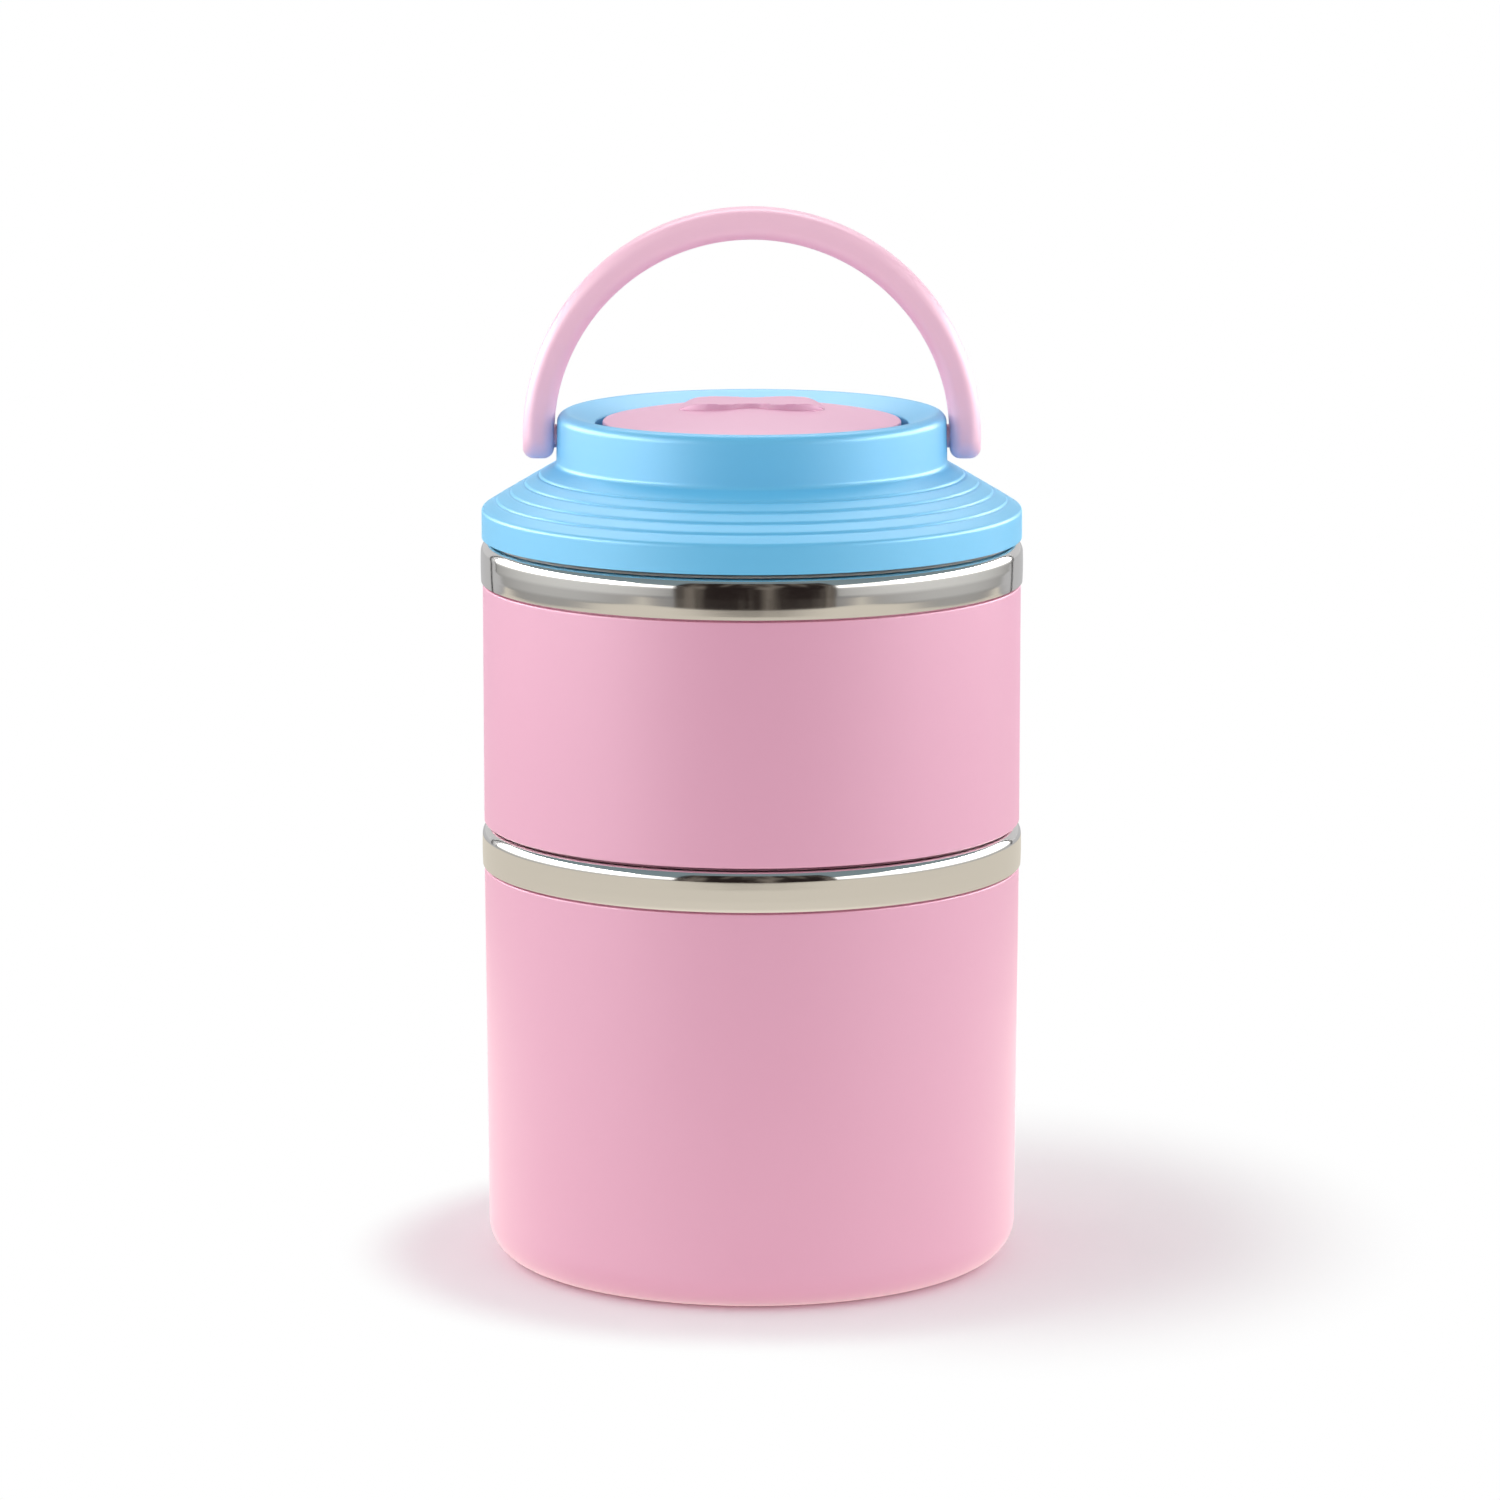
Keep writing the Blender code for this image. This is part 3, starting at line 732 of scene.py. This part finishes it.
def make_bail():
    """A half ring about the pivot, with rounded arm tips and a trunnion inside each arm."""
    shape = bmesh.new()
    bmesh.ops.create_grid(shape, x_segments=1, y_segments=1, size=0.5)
    bmesh.ops.scale(shape, vec=(BAIL_THICK, BAIL_DEPTH, 1), verts=shape.verts)
    bmesh.ops.bevel(
        shape,
        geom=shape.verts[:],
        offset=BAIL_ROUND,
        offset_type="OFFSET",
        segments=10,
        profile=0.5,
        affect="VERTICES",
        material=-1,
    )
    bmesh.ops.translate(shape, verts=shape.verts, vec=(BAIL_MIDDLE, 0, 0))
    section = list(shape.faces)[0]
    bmesh.ops.spin(
        shape,
        geom=[section] + section.edges[:] + section.verts[:],
        cent=(0, 0, 0),
        axis=(0, -1, 0),
        angle=math.pi,
        steps=RING_STEPS,
    )
    for side in (-1, 1):
        end = [
            face
            for face in shape.faces
            if abs(face.normal.z) > 0.99
            and len(face.verts) > 8
            and face.calc_center_median().x * side > 0
        ][0]
        done_drop, done_depth, done_thick = 0, 1, 1
        for facet in range(1, TIP_STEPS + 1):
            angle = TIP_ANGLE * facet / TIP_STEPS
            drop = BAIL_DROP * math.sin(angle)
            near_tip = max(0, drop - BAIL_DROP + BAIL_ROUND)
            edge = BAIL_ROUND - math.sqrt(BAIL_ROUND**2 - near_tip**2)
            thick = 1 - 2 * edge / BAIL_THICK
            depth = math.cos(angle)
            outer = [end] + end.edges[:] + end.verts[:]
            grown = bmesh.ops.extrude_face_region(shape, geom=outer)
            end = [part for part in grown["geom"] if isinstance(part, bmesh.types.BMFace)][0]
            bmesh.ops.translate(shape, verts=end.verts, vec=(0, 0, done_drop - drop))
            bmesh.ops.scale(
                shape,
                vec=(thick / done_thick, depth / done_depth, 1),
                space=Matrix.Translation((-side * BAIL_MIDDLE, 0, 0)),
                verts=end.verts,
            )
            done_drop, done_depth, done_thick = drop, depth, thick
    bmesh.ops.translate(shape, verts=shape.verts, vec=(0, 0, PIVOT))
    bmesh.ops.recalc_face_normals(shape, faces=shape.faces)
    bail = keep("bail_handle_fine", shape)
    for side in (-1, 1):
        pin = rod("pin", TRUNNION_RADIUS, side * BAIL_MIDDLE, side * TRUNNION_END, PIVOT)
        join(bail, pin, "UNION")
    return bail


# Finishes.


def new_group(name, inputs, outputs):
    """A node group with named sockets, and its input and output nodes."""
    group = bpy.data.node_groups.new(name, "ShaderNodeTree")
    for label, kind, value in inputs:
        socket = group.interface.new_socket(label, in_out="INPUT", socket_type=kind)
        socket.default_value = value
    for label, kind in outputs:
        group.interface.new_socket(label, in_out="OUTPUT", socket_type=kind)
    enter = group.nodes.new("NodeGroupInput")
    leave = group.nodes.new("NodeGroupOutput")
    return group, enter, leave


def noise(tree, coordinates, scale, detail, roughness):
    node = tree.nodes.new("ShaderNodeTexNoise")
    node.inputs["Scale"].default_value = scale
    node.inputs["Detail"].default_value = detail
    node.inputs["Roughness"].default_value = roughness
    tree.links.new(coordinates, node.inputs["Vector"])
    return node.outputs["Fac"]


def maths(tree, operation, first, second=None, third=None):
    node = tree.nodes.new("ShaderNodeMath")
    node.operation = operation
    for index, value in enumerate((first, second, third)):
        if value is None:
            continue
        if isinstance(value, (int, float)):
            node.inputs[index].default_value = value
        else:
            tree.links.new(value, node.inputs[index])
    return node.outputs[0]


def spread(tree, value, low, high):
    """A value from 0 to 1 moved to lie between two others."""
    node = tree.nodes.new("ShaderNodeMapRange")
    tree.links.new(value, node.inputs["Value"])
    for label, number in (("To Min", low), ("To Max", high)):
        if isinstance(number, (int, float)):
            node.inputs[label].default_value = number
        else:
            tree.links.new(number, node.inputs[label])
    return node.outputs["Result"]


def mixed(tree, factor, first, second):
    """A colour between two others."""
    node = tree.nodes.new("ShaderNodeMix")
    node.data_type = "RGBA"
    sockets = (node.inputs[0], node.inputs[6], node.inputs[7])
    for socket, value in zip(sockets, (factor, first, second)):
        if isinstance(value, (int, float, tuple)):
            socket.default_value = value
        else:
            tree.links.new(value, socket)
    return node.outputs[2]


def moulded_group():
    """Moulded plastic: soft clouding of the colour, faint rubbing and an uneven gloss."""
    group, enter, leave = new_group(
        "moulded_plastic",
        [
            ("Coordinates", "NodeSocketVector", (0, 0, 0)),
            ("Colour", "NodeSocketColor", (0.8, 0.8, 0.8, 1)),
            ("Deep Colour", "NodeSocketColor", (0.7, 0.7, 0.7, 1)),
            ("Gloss Low", "NodeSocketFloat", 0.14),
            ("Gloss High", "NodeSocketFloat", 0.22),
            ("Rubbing", "NodeSocketFloat", 0.3),
        ],
        [
            ("Colour", "NodeSocketColor"),
            ("Roughness", "NodeSocketFloat"),
            ("Height", "NodeSocketFloat"),
        ],
    )
    place = enter.outputs["Coordinates"]
    cloud = noise(group, place, CLOUD_SCALE, 4, 0.55)
    stretch = group.nodes.new("ShaderNodeMapping")
    stretch.inputs["Scale"].default_value = (1, 1, RUBBED_STRETCH)
    group.links.new(place, stretch.inputs["Vector"])
    rubbed = noise(group, stretch.outputs["Vector"], RUBBED_SCALE, 5, 0.62)
    peel = noise(group, place, PEEL_SCALE, 2, 0.5)
    grain = noise(group, place, GRAIN_SCALE, 1, 0.5)
    clouding = maths(group, "MULTIPLY", spread(group, cloud, -0.25, 1.1), CLOUD_SHARE)
    colour = mixed(group, clouding, enter.outputs["Colour"], enter.outputs["Deep Colour"])
    wear = maths(group, "MULTIPLY", enter.outputs["Rubbing"], rubbed)
    even = spread(group, cloud, enter.outputs["Gloss Low"], enter.outputs["Gloss High"])
    gloss = maths(group, "MULTIPLY_ADD", wear, WEAR_SHARE, even)
    height = maths(group, "MULTIPLY_ADD", grain, GRAIN_SHARE, peel)
    group.links.new(colour, leave.inputs["Colour"])
    group.links.new(gloss, leave.inputs["Roughness"])
    group.links.new(height, leave.inputs["Height"])
    return group


def spun_steel_group():
    """Polished sheet steel: hairlines around the axis, soft smears and slightly uneven polish."""
    group, enter, leave = new_group(
        "spun_steel",
        [
            ("Coordinates", "NodeSocketVector", (0, 0, 0)),
            ("Polish Low", "NodeSocketFloat", 0.05),
            ("Polish High", "NodeSocketFloat", 0.12),
            ("Hairlines", "NodeSocketFloat", 0.5),
        ],
        [
            ("Tint", "NodeSocketFloat"),
            ("Roughness", "NodeSocketFloat"),
            ("Height", "NodeSocketFloat"),
        ],
    )
    place = enter.outputs["Coordinates"]
    split = group.nodes.new("ShaderNodeSeparateXYZ")
    group.links.new(place, split.inputs["Vector"])
    flat = group.nodes.new("ShaderNodeCombineXYZ")
    group.links.new(split.outputs["X"], flat.inputs["X"])
    group.links.new(split.outputs["Y"], flat.inputs["Y"])
    reach = group.nodes.new("ShaderNodeVectorMath")
    reach.operation = "LENGTH"
    group.links.new(flat.outputs["Vector"], reach.inputs[0])
    rings = group.nodes.new("ShaderNodeCombineXYZ")
    for axis in ("X", "Y"):
        run = maths(group, "MULTIPLY", split.outputs[axis], LINE_RUN)
        group.links.new(run, rings.inputs[axis])
    across = maths(group, "ADD", split.outputs["Z"], reach.outputs["Value"])
    group.links.new(across, rings.inputs["Z"])
    lines = noise(group, rings.outputs["Vector"], LINE_SCALE, 4, 0.7)
    smear = noise(group, place, SMEAR_SCALE, 4, 0.6)
    polish = spread(group, smear, enter.outputs["Polish Low"], enter.outputs["Polish High"])
    uneven = maths(group, "MULTIPLY", enter.outputs["Hairlines"], lines)
    rough = maths(group, "MULTIPLY_ADD", uneven, LINE_SHARE, polish)
    group.links.new(rough, leave.inputs["Roughness"])
    group.links.new(maths(group, "MULTIPLY", smear, SMEAR_SHARE), leave.inputs["Tint"])
    group.links.new(uneven, leave.inputs["Height"])
    return group


def start_material(name):
    """A material with its surface shader and a source of object coordinates."""
    material = bpy.data.materials.new(name)
    material.use_nodes = True
    tree = material.node_tree
    surface = tree.nodes["Principled BSDF"]
    place = tree.nodes.new("ShaderNodeTexCoord").outputs["Object"]
    return material, tree, surface, place


def add_relief(tree, surface, height, distance, strength):
    bump = tree.nodes.new("ShaderNodeBump")
    bump.inputs["Distance"].default_value = distance
    bump.inputs["Strength"].default_value = strength
    tree.links.new(height, bump.inputs["Height"])
    tree.links.new(bump.outputs["Normal"], surface.inputs["Normal"])


def plastic(name, group, colour, deep, gloss, rubbing=0.3, relief=0.1):
    """Moulded plastic of one colour, with its deeper tone and its range of gloss."""
    material, tree, surface, place = start_material(name)
    body = tree.nodes.new("ShaderNodeGroup")
    body.node_tree = group
    tree.links.new(place, body.inputs["Coordinates"])
    body.inputs["Colour"].default_value = (*colour, 1)
    body.inputs["Deep Colour"].default_value = (*deep, 1)
    body.inputs["Gloss Low"].default_value = gloss[0]
    body.inputs["Gloss High"].default_value = gloss[1]
    body.inputs["Rubbing"].default_value = rubbing
    tree.links.new(body.outputs["Colour"], surface.inputs["Base Color"])
    tree.links.new(body.outputs["Roughness"], surface.inputs["Roughness"])
    surface.inputs["IOR"].default_value = PLASTIC_IOR
    surface.inputs["Specular IOR Level"].default_value = PLASTIC_SHEEN
    add_relief(tree, surface, body.outputs["Height"], PLASTIC_RELIEF, relief)
    return material


def steel(name, group, colour, cooler, polish, hairlines, relief):
    material, tree, surface, place = start_material(name)
    body = tree.nodes.new("ShaderNodeGroup")
    body.node_tree = group
    tree.links.new(place, body.inputs["Coordinates"])
    body.inputs["Polish Low"].default_value = polish[0]
    body.inputs["Polish High"].default_value = polish[1]
    body.inputs["Hairlines"].default_value = hairlines
    tint = mixed(tree, body.outputs["Tint"], (*colour, 1), (*cooler, 1))
    tree.links.new(tint, surface.inputs["Base Color"])
    tree.links.new(body.outputs["Roughness"], surface.inputs["Roughness"])
    surface.inputs["Metallic"].default_value = 1
    add_relief(tree, surface, body.outputs["Height"], STEEL_RELIEF, relief)
    return material


def make_finishes():
    moulded = moulded_group()
    spun = spun_steel_group()
    return {
        "shell": plastic(
            "pink_shell",
            moulded,
            colour=(0.79, 0.375, 0.53),
            deep=(0.77, 0.35, 0.505),
            gloss=(0.36, 0.43),
        ),
        # Painted light: the same pink plastic as the shell, painted lighter to stand in for the
        # light the handle catches.
        "bail": plastic(
            "pink_bail_painted_lighter",
            moulded,
            colour=(0.99, 0.58, 0.73),
            deep=(0.97, 0.55, 0.705),
            gloss=(0.38, 0.45),
        ),
        "disc": plastic(
            "pink_disc",
            moulded,
            colour=(0.79, 0.42, 0.585),
            deep=(0.77, 0.39, 0.56),
            gloss=(0.38, 0.45),
        ),
        "lid": plastic(
            "blue_lid",
            moulded,
            colour=(0.13, 0.55, 0.88),
            deep=(0.11, 0.52, 0.85),
            gloss=(0.34, 0.41),
        ),
        "plate": plastic(
            "white_plate",
            moulded,
            colour=(0.80, 0.81, 0.82),
            deep=(0.77, 0.78, 0.79),
            gloss=(0.3, 0.4),
            rubbing=0.4,
            relief=0.2,
        ),
        "silicone": plastic(
            "clear_silicone",
            moulded,
            colour=(0.76, 0.79, 0.79),
            deep=(0.70, 0.74, 0.75),
            gloss=(0.45, 0.58),
            rubbing=0.5,
            relief=0.35,
        ),
        "steel": steel(
            "polished_steel",
            spun,
            colour=(0.80, 0.78, 0.75),
            cooler=(0.74, 0.74, 0.74),
            polish=(0.05, 0.1),
            hairlines=0.5,
            relief=0.12,
        ),
    }


# Stage.


def make_panel(name, centre, width, height, facing):
    """A flat panel that stands upright and faces along a direction."""
    shape = bmesh.new()
    turn = Vector(facing).to_track_quat("Z", "Y").to_matrix().to_4x4()
    bmesh.ops.create_grid(shape, x_segments=1, y_segments=1, size=0.5)
    bmesh.ops.scale(shape, vec=(width, height, 1), verts=shape.verts)
    bmesh.ops.transform(shape, matrix=Matrix.Translation(centre) @ turn, verts=shape.verts)
    panel = keep(name, shape)
    return panel


def only_reflected(panel):
    """A panel that shows in reflections alone, and takes no light from the object."""
    panel.visible_camera = False
    panel.visible_diffuse = False
    panel.visible_shadow = False
    panel.visible_transmission = False
    panel.visible_volume_scatter = False


def painted_dark_reflection_material():
    """Painted reflection of what stands behind the camera: a glowing sheet, dark with paler
    upright frames in it, seen only in reflections.
    """
    material = bpy.data.materials.new("painted_dark_reflection")
    material.use_nodes = True
    tree = material.node_tree
    tree.nodes.remove(tree.nodes["Principled BSDF"])
    glow = tree.nodes.new("ShaderNodeEmission")
    place = tree.nodes.new("ShaderNodeTexCoord").outputs["Object"]
    stretch = tree.nodes.new("ShaderNodeMapping")
    stretch.inputs["Scale"].default_value = (1, 1, FRAME_STRETCH)
    tree.links.new(place, stretch.inputs["Vector"])
    bars = noise(tree, stretch.outputs["Vector"], FRAME_SCALE, 3, 0.6)
    ramp = tree.nodes.new("ShaderNodeValToRGB")
    tones = zip(ramp.color_ramp.elements, FRAME_TONES_FROM, (PAINTED_DARK_REFLECTION, PAINTED_FRAME_REFLECTION))
    for element, position, tone in tones:
        element.position = position
        element.color = tone
    tree.links.new(bars, ramp.inputs["Fac"])
    tree.links.new(ramp.outputs["Color"], glow.inputs["Color"])
    tree.links.new(glow.outputs["Emission"], tree.nodes["Material Output"].inputs["Surface"])
    return material


def stepped(tree, value, low, high):
    """0 below one value and 1 above another, with a smooth rise between them."""
    node = tree.nodes.new("ShaderNodeMapRange")
    node.interpolation_type = "SMOOTHSTEP"
    node.inputs["From Min"].default_value = low
    node.inputs["From Max"].default_value = high
    tree.links.new(value, node.inputs["Value"])
    return node.outputs["Result"]


def between(tree, value, low, high, soft=0.02):
    """1 where a value lies between two others, with soft ends."""
    rise = tree.nodes.new("ShaderNodeMapRange")
    fall = tree.nodes.new("ShaderNodeMapRange")
    for node, edge, first, last in ((rise, low, 0, 1), (fall, high, 1, 0)):
        node.inputs["From Min"].default_value = edge - soft
        node.inputs["From Max"].default_value = edge + soft
        node.inputs["To Min"].default_value = first
        node.inputs["To Max"].default_value = last
        tree.links.new(value, node.inputs["Value"])
    return maths(tree, "MULTIPLY", rise.outputs["Result"], fall.outputs["Result"])


def object_axes(tree):
    """Object coordinates, whole and split by axis."""
    split = tree.nodes.new("ShaderNodeSeparateXYZ")
    place = tree.nodes.new("ShaderNodeTexCoord").outputs["Object"]
    tree.links.new(place, split.inputs["Vector"])
    return place, split.outputs


def distance(tree, place, centre, stretch):
    """Distance on the floor from a point, measured in an ellipse."""
    move = tree.nodes.new("ShaderNodeMapping")
    move.inputs["Location"].default_value = (-centre[0] * stretch[0], -centre[1] * stretch[1], 0)
    move.inputs["Scale"].default_value = (*stretch, 1)
    tree.links.new(place, move.inputs["Vector"])
    reach = tree.nodes.new("ShaderNodeVectorMath")
    reach.operation = "LENGTH"
    tree.links.new(move.outputs["Vector"], reach.inputs[0])
    return reach.outputs["Value"]


def seen_directly(tree, path):
    """1 for what the camera sees, plainly or through something clear."""
    return maths(
        tree, "MAXIMUM", path.outputs["Is Camera Ray"], path.outputs["Is Transmission Ray"]
    )


def floor_material():
    """A white floor that keeps its shadow; in reflections it shows a painted reflection instead, a
    glowing pale table on painted grey floor.
    """
    material = bpy.data.materials.new("white_floor")
    material.use_nodes = True
    tree = material.node_tree
    surface = tree.nodes["Principled BSDF"]
    surface.inputs["Base Color"].default_value = (*FLOOR_COLOUR, 1)
    surface.inputs["Roughness"].default_value = FLOOR_ROUGHNESS
    surface.inputs["Specular IOR Level"].default_value = 0.0
    place, axes = object_axes(tree)
    path = tree.nodes.new("ShaderNodeLightPath")
    from_axis = distance(tree, place, (0, 0), (1, 1))
    from_shadow = distance(tree, place, SHADOW_CENTRE, SHADOW_STRETCH)
    past_shadow = stepped(tree, from_shadow, *SHADOW_REACH)
    past_foot = stepped(tree, from_axis, *CONTACT_REACH)
    fade = maths(tree, "MULTIPLY", past_shadow, past_foot)
    white = tree.nodes.new("ShaderNodeEmission")
    white.inputs["Color"].default_value = (1, 1, 1, 1)
    seen = tree.nodes.new("ShaderNodeMixShader")
    tree.links.new(fade, seen.inputs["Fac"])
    tree.links.new(surface.outputs["BSDF"], seen.inputs[1])
    tree.links.new(white.outputs["Emission"], seen.inputs[2])
    # Painted reflection: glossy rays see a glowing table on painted grey floor tones.
    across = between(tree, axes["X"], -TABLE_HALF, TABLE_HALF)
    along = between(tree, axes["Y"], TABLE_FRONT, TABLE_BACK)
    table = tree.nodes.new("ShaderNodeEmission")
    far = stepped(tree, axes["Y"], *FAR_FLOOR_FROM)
    around = mixed(tree, far, NEAR_FLOOR, FAR_FLOOR)
    on_table = maths(tree, "MULTIPLY", across, along)
    colour = mixed(tree, on_table, around, PAINTED_TABLE_REFLECTION)
    # Painted pool of light: the reflected table glows brighter near the object's axis.
    near = maths(tree, "SUBTRACT", 1, stepped(tree, from_axis, *PAINTED_GLOW_REACH))
    glow = maths(tree, "MULTIPLY_ADD", near, PAINTED_GLOW_BOOST, 1)
    tree.links.new(colour, table.inputs["Color"])
    tree.links.new(glow, table.inputs["Strength"])
    by_camera = tree.nodes.new("ShaderNodeMixShader")
    direct = seen_directly(tree, path)
    tree.links.new(direct, by_camera.inputs["Fac"])
    tree.links.new(surface.outputs["BSDF"], by_camera.inputs[1])
    tree.links.new(seen.outputs["Shader"], by_camera.inputs[2])
    by_gloss = tree.nodes.new("ShaderNodeMixShader")
    tree.links.new(path.outputs["Is Glossy Ray"], by_gloss.inputs["Fac"])
    tree.links.new(by_camera.outputs["Shader"], by_gloss.inputs[1])
    tree.links.new(table.outputs["Emission"], by_gloss.inputs[2])
    tree.links.new(by_gloss.outputs["Shader"], tree.nodes["Material Output"].inputs["Surface"])
    return material


def diffuser_material(name, middle, length, lit_from, level):
    """The face of a softbox in reflections: bright above, dim at its foot, dark at its frame."""
    material = bpy.data.materials.new(name)
    material.use_nodes = True
    tree = material.node_tree
    tree.nodes.remove(tree.nodes["Principled BSDF"])
    axes = object_axes(tree)[1]
    ramp = tree.nodes.new("ShaderNodeValToRGB")
    tree.links.new(axes["Z"], ramp.inputs["Fac"])
    elements = ramp.color_ramp.elements
    for position, _ in FACE_STEPS[1:-1]:
        elements.new(position)
    for element, (position, shade) in zip(elements, FACE_STEPS):
        element.position = position
        element.color = (shade / 2, shade / 2, shade / 2 * FACE_WARMTH, 1)
    half = length / 2 - FRAME_WIDTH
    inside = between(tree, axes["Y"], middle - half, middle + half, FRAME_SOFTNESS)
    along = stepped(tree, axes["Y"], lit_from - BOOST_SOFTNESS, lit_from + BOOST_SOFTNESS)
    above = stepped(tree, axes["Z"], *BOOST_HEIGHTS)
    lit = maths(tree, "MULTIPLY", along, above)
    boost = maths(tree, "MULTIPLY_ADD", lit, FACE_BOOST, 1)
    strength = maths(tree, "MULTIPLY_ADD", inside, 2 * level - FRAME_GLOW, FRAME_GLOW)
    glow = tree.nodes.new("ShaderNodeEmission")
    tree.links.new(ramp.outputs["Color"], glow.inputs["Color"])
    tree.links.new(maths(tree, "MULTIPLY", strength, boost), glow.inputs["Strength"])
    tree.links.new(glow.outputs["Emission"], tree.nodes["Material Output"].inputs["Surface"])
    return material


def make_world():
    """White behind the object, an even room around it, and a bright ceiling in reflections."""
    world = bpy.data.worlds.new("studio")
    world.use_nodes = True
    bpy.context.scene.world = world
    tree = world.node_tree
    back = tree.nodes["Background"]
    path = tree.nodes.new("ShaderNodeLightPath")
    direction = tree.nodes.new("ShaderNodeTexCoord").outputs["Generated"]
    split = tree.nodes.new("ShaderNodeSeparateXYZ")
    tree.links.new(direction, split.inputs["Vector"])
    upward = stepped(tree, split.outputs["Z"], 0.15, 0.5)
    front = mixed(tree, upward, FRONT_LIGHT, HIGH_LIGHT)
    backward = stepped(tree, split.outputs["Y"], 0.45, 0.85)
    around = mixed(tree, backward, front, BACK_LIGHT)
    behind = stepped(tree, split.outputs["Y"], 0.2, 0.36)
    overhead = stepped(tree, split.outputs["Z"], 0.35, 0.75)
    aside = stepped(tree, maths(tree, "ABSOLUTE", split.outputs["X"]), 0.38, 0.54)
    high = maths(tree, "MULTIPLY", behind, overhead)
    ceiling = maths(tree, "MULTIPLY", high, maths(tree, "SUBTRACT", 1, aside))
    room = mixed(tree, ceiling, around, OVERHEAD_LIGHT)
    plain = mixed(tree, path.outputs["Is Glossy Ray"], ROOM_LIGHT, room)
    colour = mixed(tree, seen_directly(tree, path), plain, (1, 1, 1, 1))
    tree.links.new(colour, back.inputs["Color"])
    back.inputs["Strength"].default_value = 1


def softbox(name, side, middle, height, width, power, lit_from, level):
    """A big rectangular lamp beside the object, and the face that reflections show for it."""
    data = bpy.data.lights.new(name, "AREA")
    data.shape = "RECTANGLE"
    data.size = SOFTBOX_LENGTH
    data.size_y = width
    data.energy = power
    lamp = bpy.data.objects.new(name, data)
    bpy.context.scene.collection.objects.link(lamp)
    lamp.location = (side * SOFTBOX_REACH, middle, height)
    inward = Vector((-side, 0, -SOFTBOX_DIP))
    lamp.rotation_euler = inward.to_track_quat("-Z", "Y").to_euler()
    lamp.visible_glossy = False
    lamp.visible_camera = False
    label = f"{name}_face"
    centre = (side * SOFTBOX_REACH, middle, FACE_TOP / 2)
    face = make_panel(label, centre, SOFTBOX_LENGTH, FACE_TOP, (-side, 0, 0))
    diffuser = diffuser_material(label, middle, SOFTBOX_LENGTH, lit_from, level)
    face.data.materials.append(diffuser)
    only_reflected(face)


def stand(name, side):
    """A thin dark upright behind and beside the object, seen only in reflections, which paints a
    dark line into the steel bands as a painted reflection.
    """
    away = Vector((side * STAND_ASIDE, STAND_BEHIND, 0))
    centre = away * STAND_REACH + Vector((0, 0, STAND_MIDDLE))
    post = make_panel(name, centre, STAND_WIDTH, STAND_HEIGHT, -away)
    material = bpy.data.materials.new(name)
    material.use_nodes = True
    surface = material.node_tree.nodes["Principled BSDF"]
    surface.inputs["Base Color"].default_value = PAINTED_LINE_COLOUR
    surface.inputs["Roughness"].default_value = FLOOR_ROUGHNESS
    post.data.materials.append(material)
    only_reflected(post)


def make_camera():
    data = bpy.data.cameras.new("camera")
    data.sensor_width = CAMERA_SENSOR
    data.lens = CAMERA_LENS
    camera = bpy.data.objects.new("camera", data)
    camera.location = CAMERA_PLACE
    camera.rotation_euler = (CAMERA_TILT, 0, 0)
    bpy.context.scene.collection.objects.link(camera)
    bpy.context.scene.camera = camera


def make_stage():
    floor = make_panel("floor", (0, 0, 0), FLOOR_SIZE, FLOOR_SIZE, (0, 0, 1))
    floor.data.materials.append(floor_material())
    # Painted dark reflection, seen only in reflections.
    room = make_panel(
        "painted_dark_reflection", PAINTED_DARK_PLACE, PAINTED_DARK_WIDTH, PAINTED_DARK_HEIGHT, (0, 1, 0)
    )
    room.data.materials.append(painted_dark_reflection_material())
    only_reflected(room)
    stand("left_stand", -1)
    stand("right_stand", 1)
    make_world()
    softbox(
        "left_softbox",
        side=-1,
        middle=-0.255,
        height=0.74,
        width=1.0,
        power=8.5,
        lit_from=-0.7,
        level=1.35,
    )
    softbox(
        "right_softbox",
        side=1,
        middle=-0.107,
        height=0.56,
        width=0.9,
        power=6.5,
        lit_from=-0.48,
        level=1.4,
    )
    make_camera()
    bpy.context.scene.view_settings.view_transform = "Standard"


def build():
    """Makes each piece, with its body, slot, finish and the node it replaces, and the stage."""
    finishes = make_finishes()
    pieces = (
        (make_lower_shell(), "lower_tier", "pink_plastic", "shell", "lower_shell"),
        (
            make_liner("lower_liner_fine", LOWER_RIM, LOWER_FLOOR),
            "lower_tier",
            "polished_steel",
            "steel",
            "lower_liner",
        ),
        (
            make_seal("upper_base_seal_fine", LOWER_RIM),
            "tier_seal_ring",
            "silicone",
            "silicone",
            "upper_base_seal",
        ),
        (make_base_plug(), "upper_tier", "pink_plastic", "shell", "upper_base_plug"),
        (make_upper_shell(), "upper_tier", "pink_plastic", "shell", "upper_shell"),
        (
            make_liner("upper_liner_fine", UPPER_RIM, UPPER_FLOOR),
            "upper_tier",
            "polished_steel",
            "steel",
            "upper_liner",
        ),
        (
            make_seal("lid_seal_fine", UPPER_RIM),
            "lid_seal_ring",
            "silicone",
            "silicone",
            "lid_seal",
        ),
        (make_lid_plate(), "lid", "white_plastic", "plate", "lid_inner_plate"),
        (make_lid_cover(), "lid", "blue_plastic", "lid", "lid_cover"),
        (make_vent_cap(), "vent", "pink_plastic", "disc", "vent_cap"),
        (make_stopper(), "vent", "silicone", "silicone", "vent_plug"),
        (make_bail(), "bail", "pink_plastic", "bail", "bail_handle"),
    )
    for piece, body, slot, finish, node in pieces:
        finish_piece(piece, body, finishes[finish], node)
    make_stage()


build()
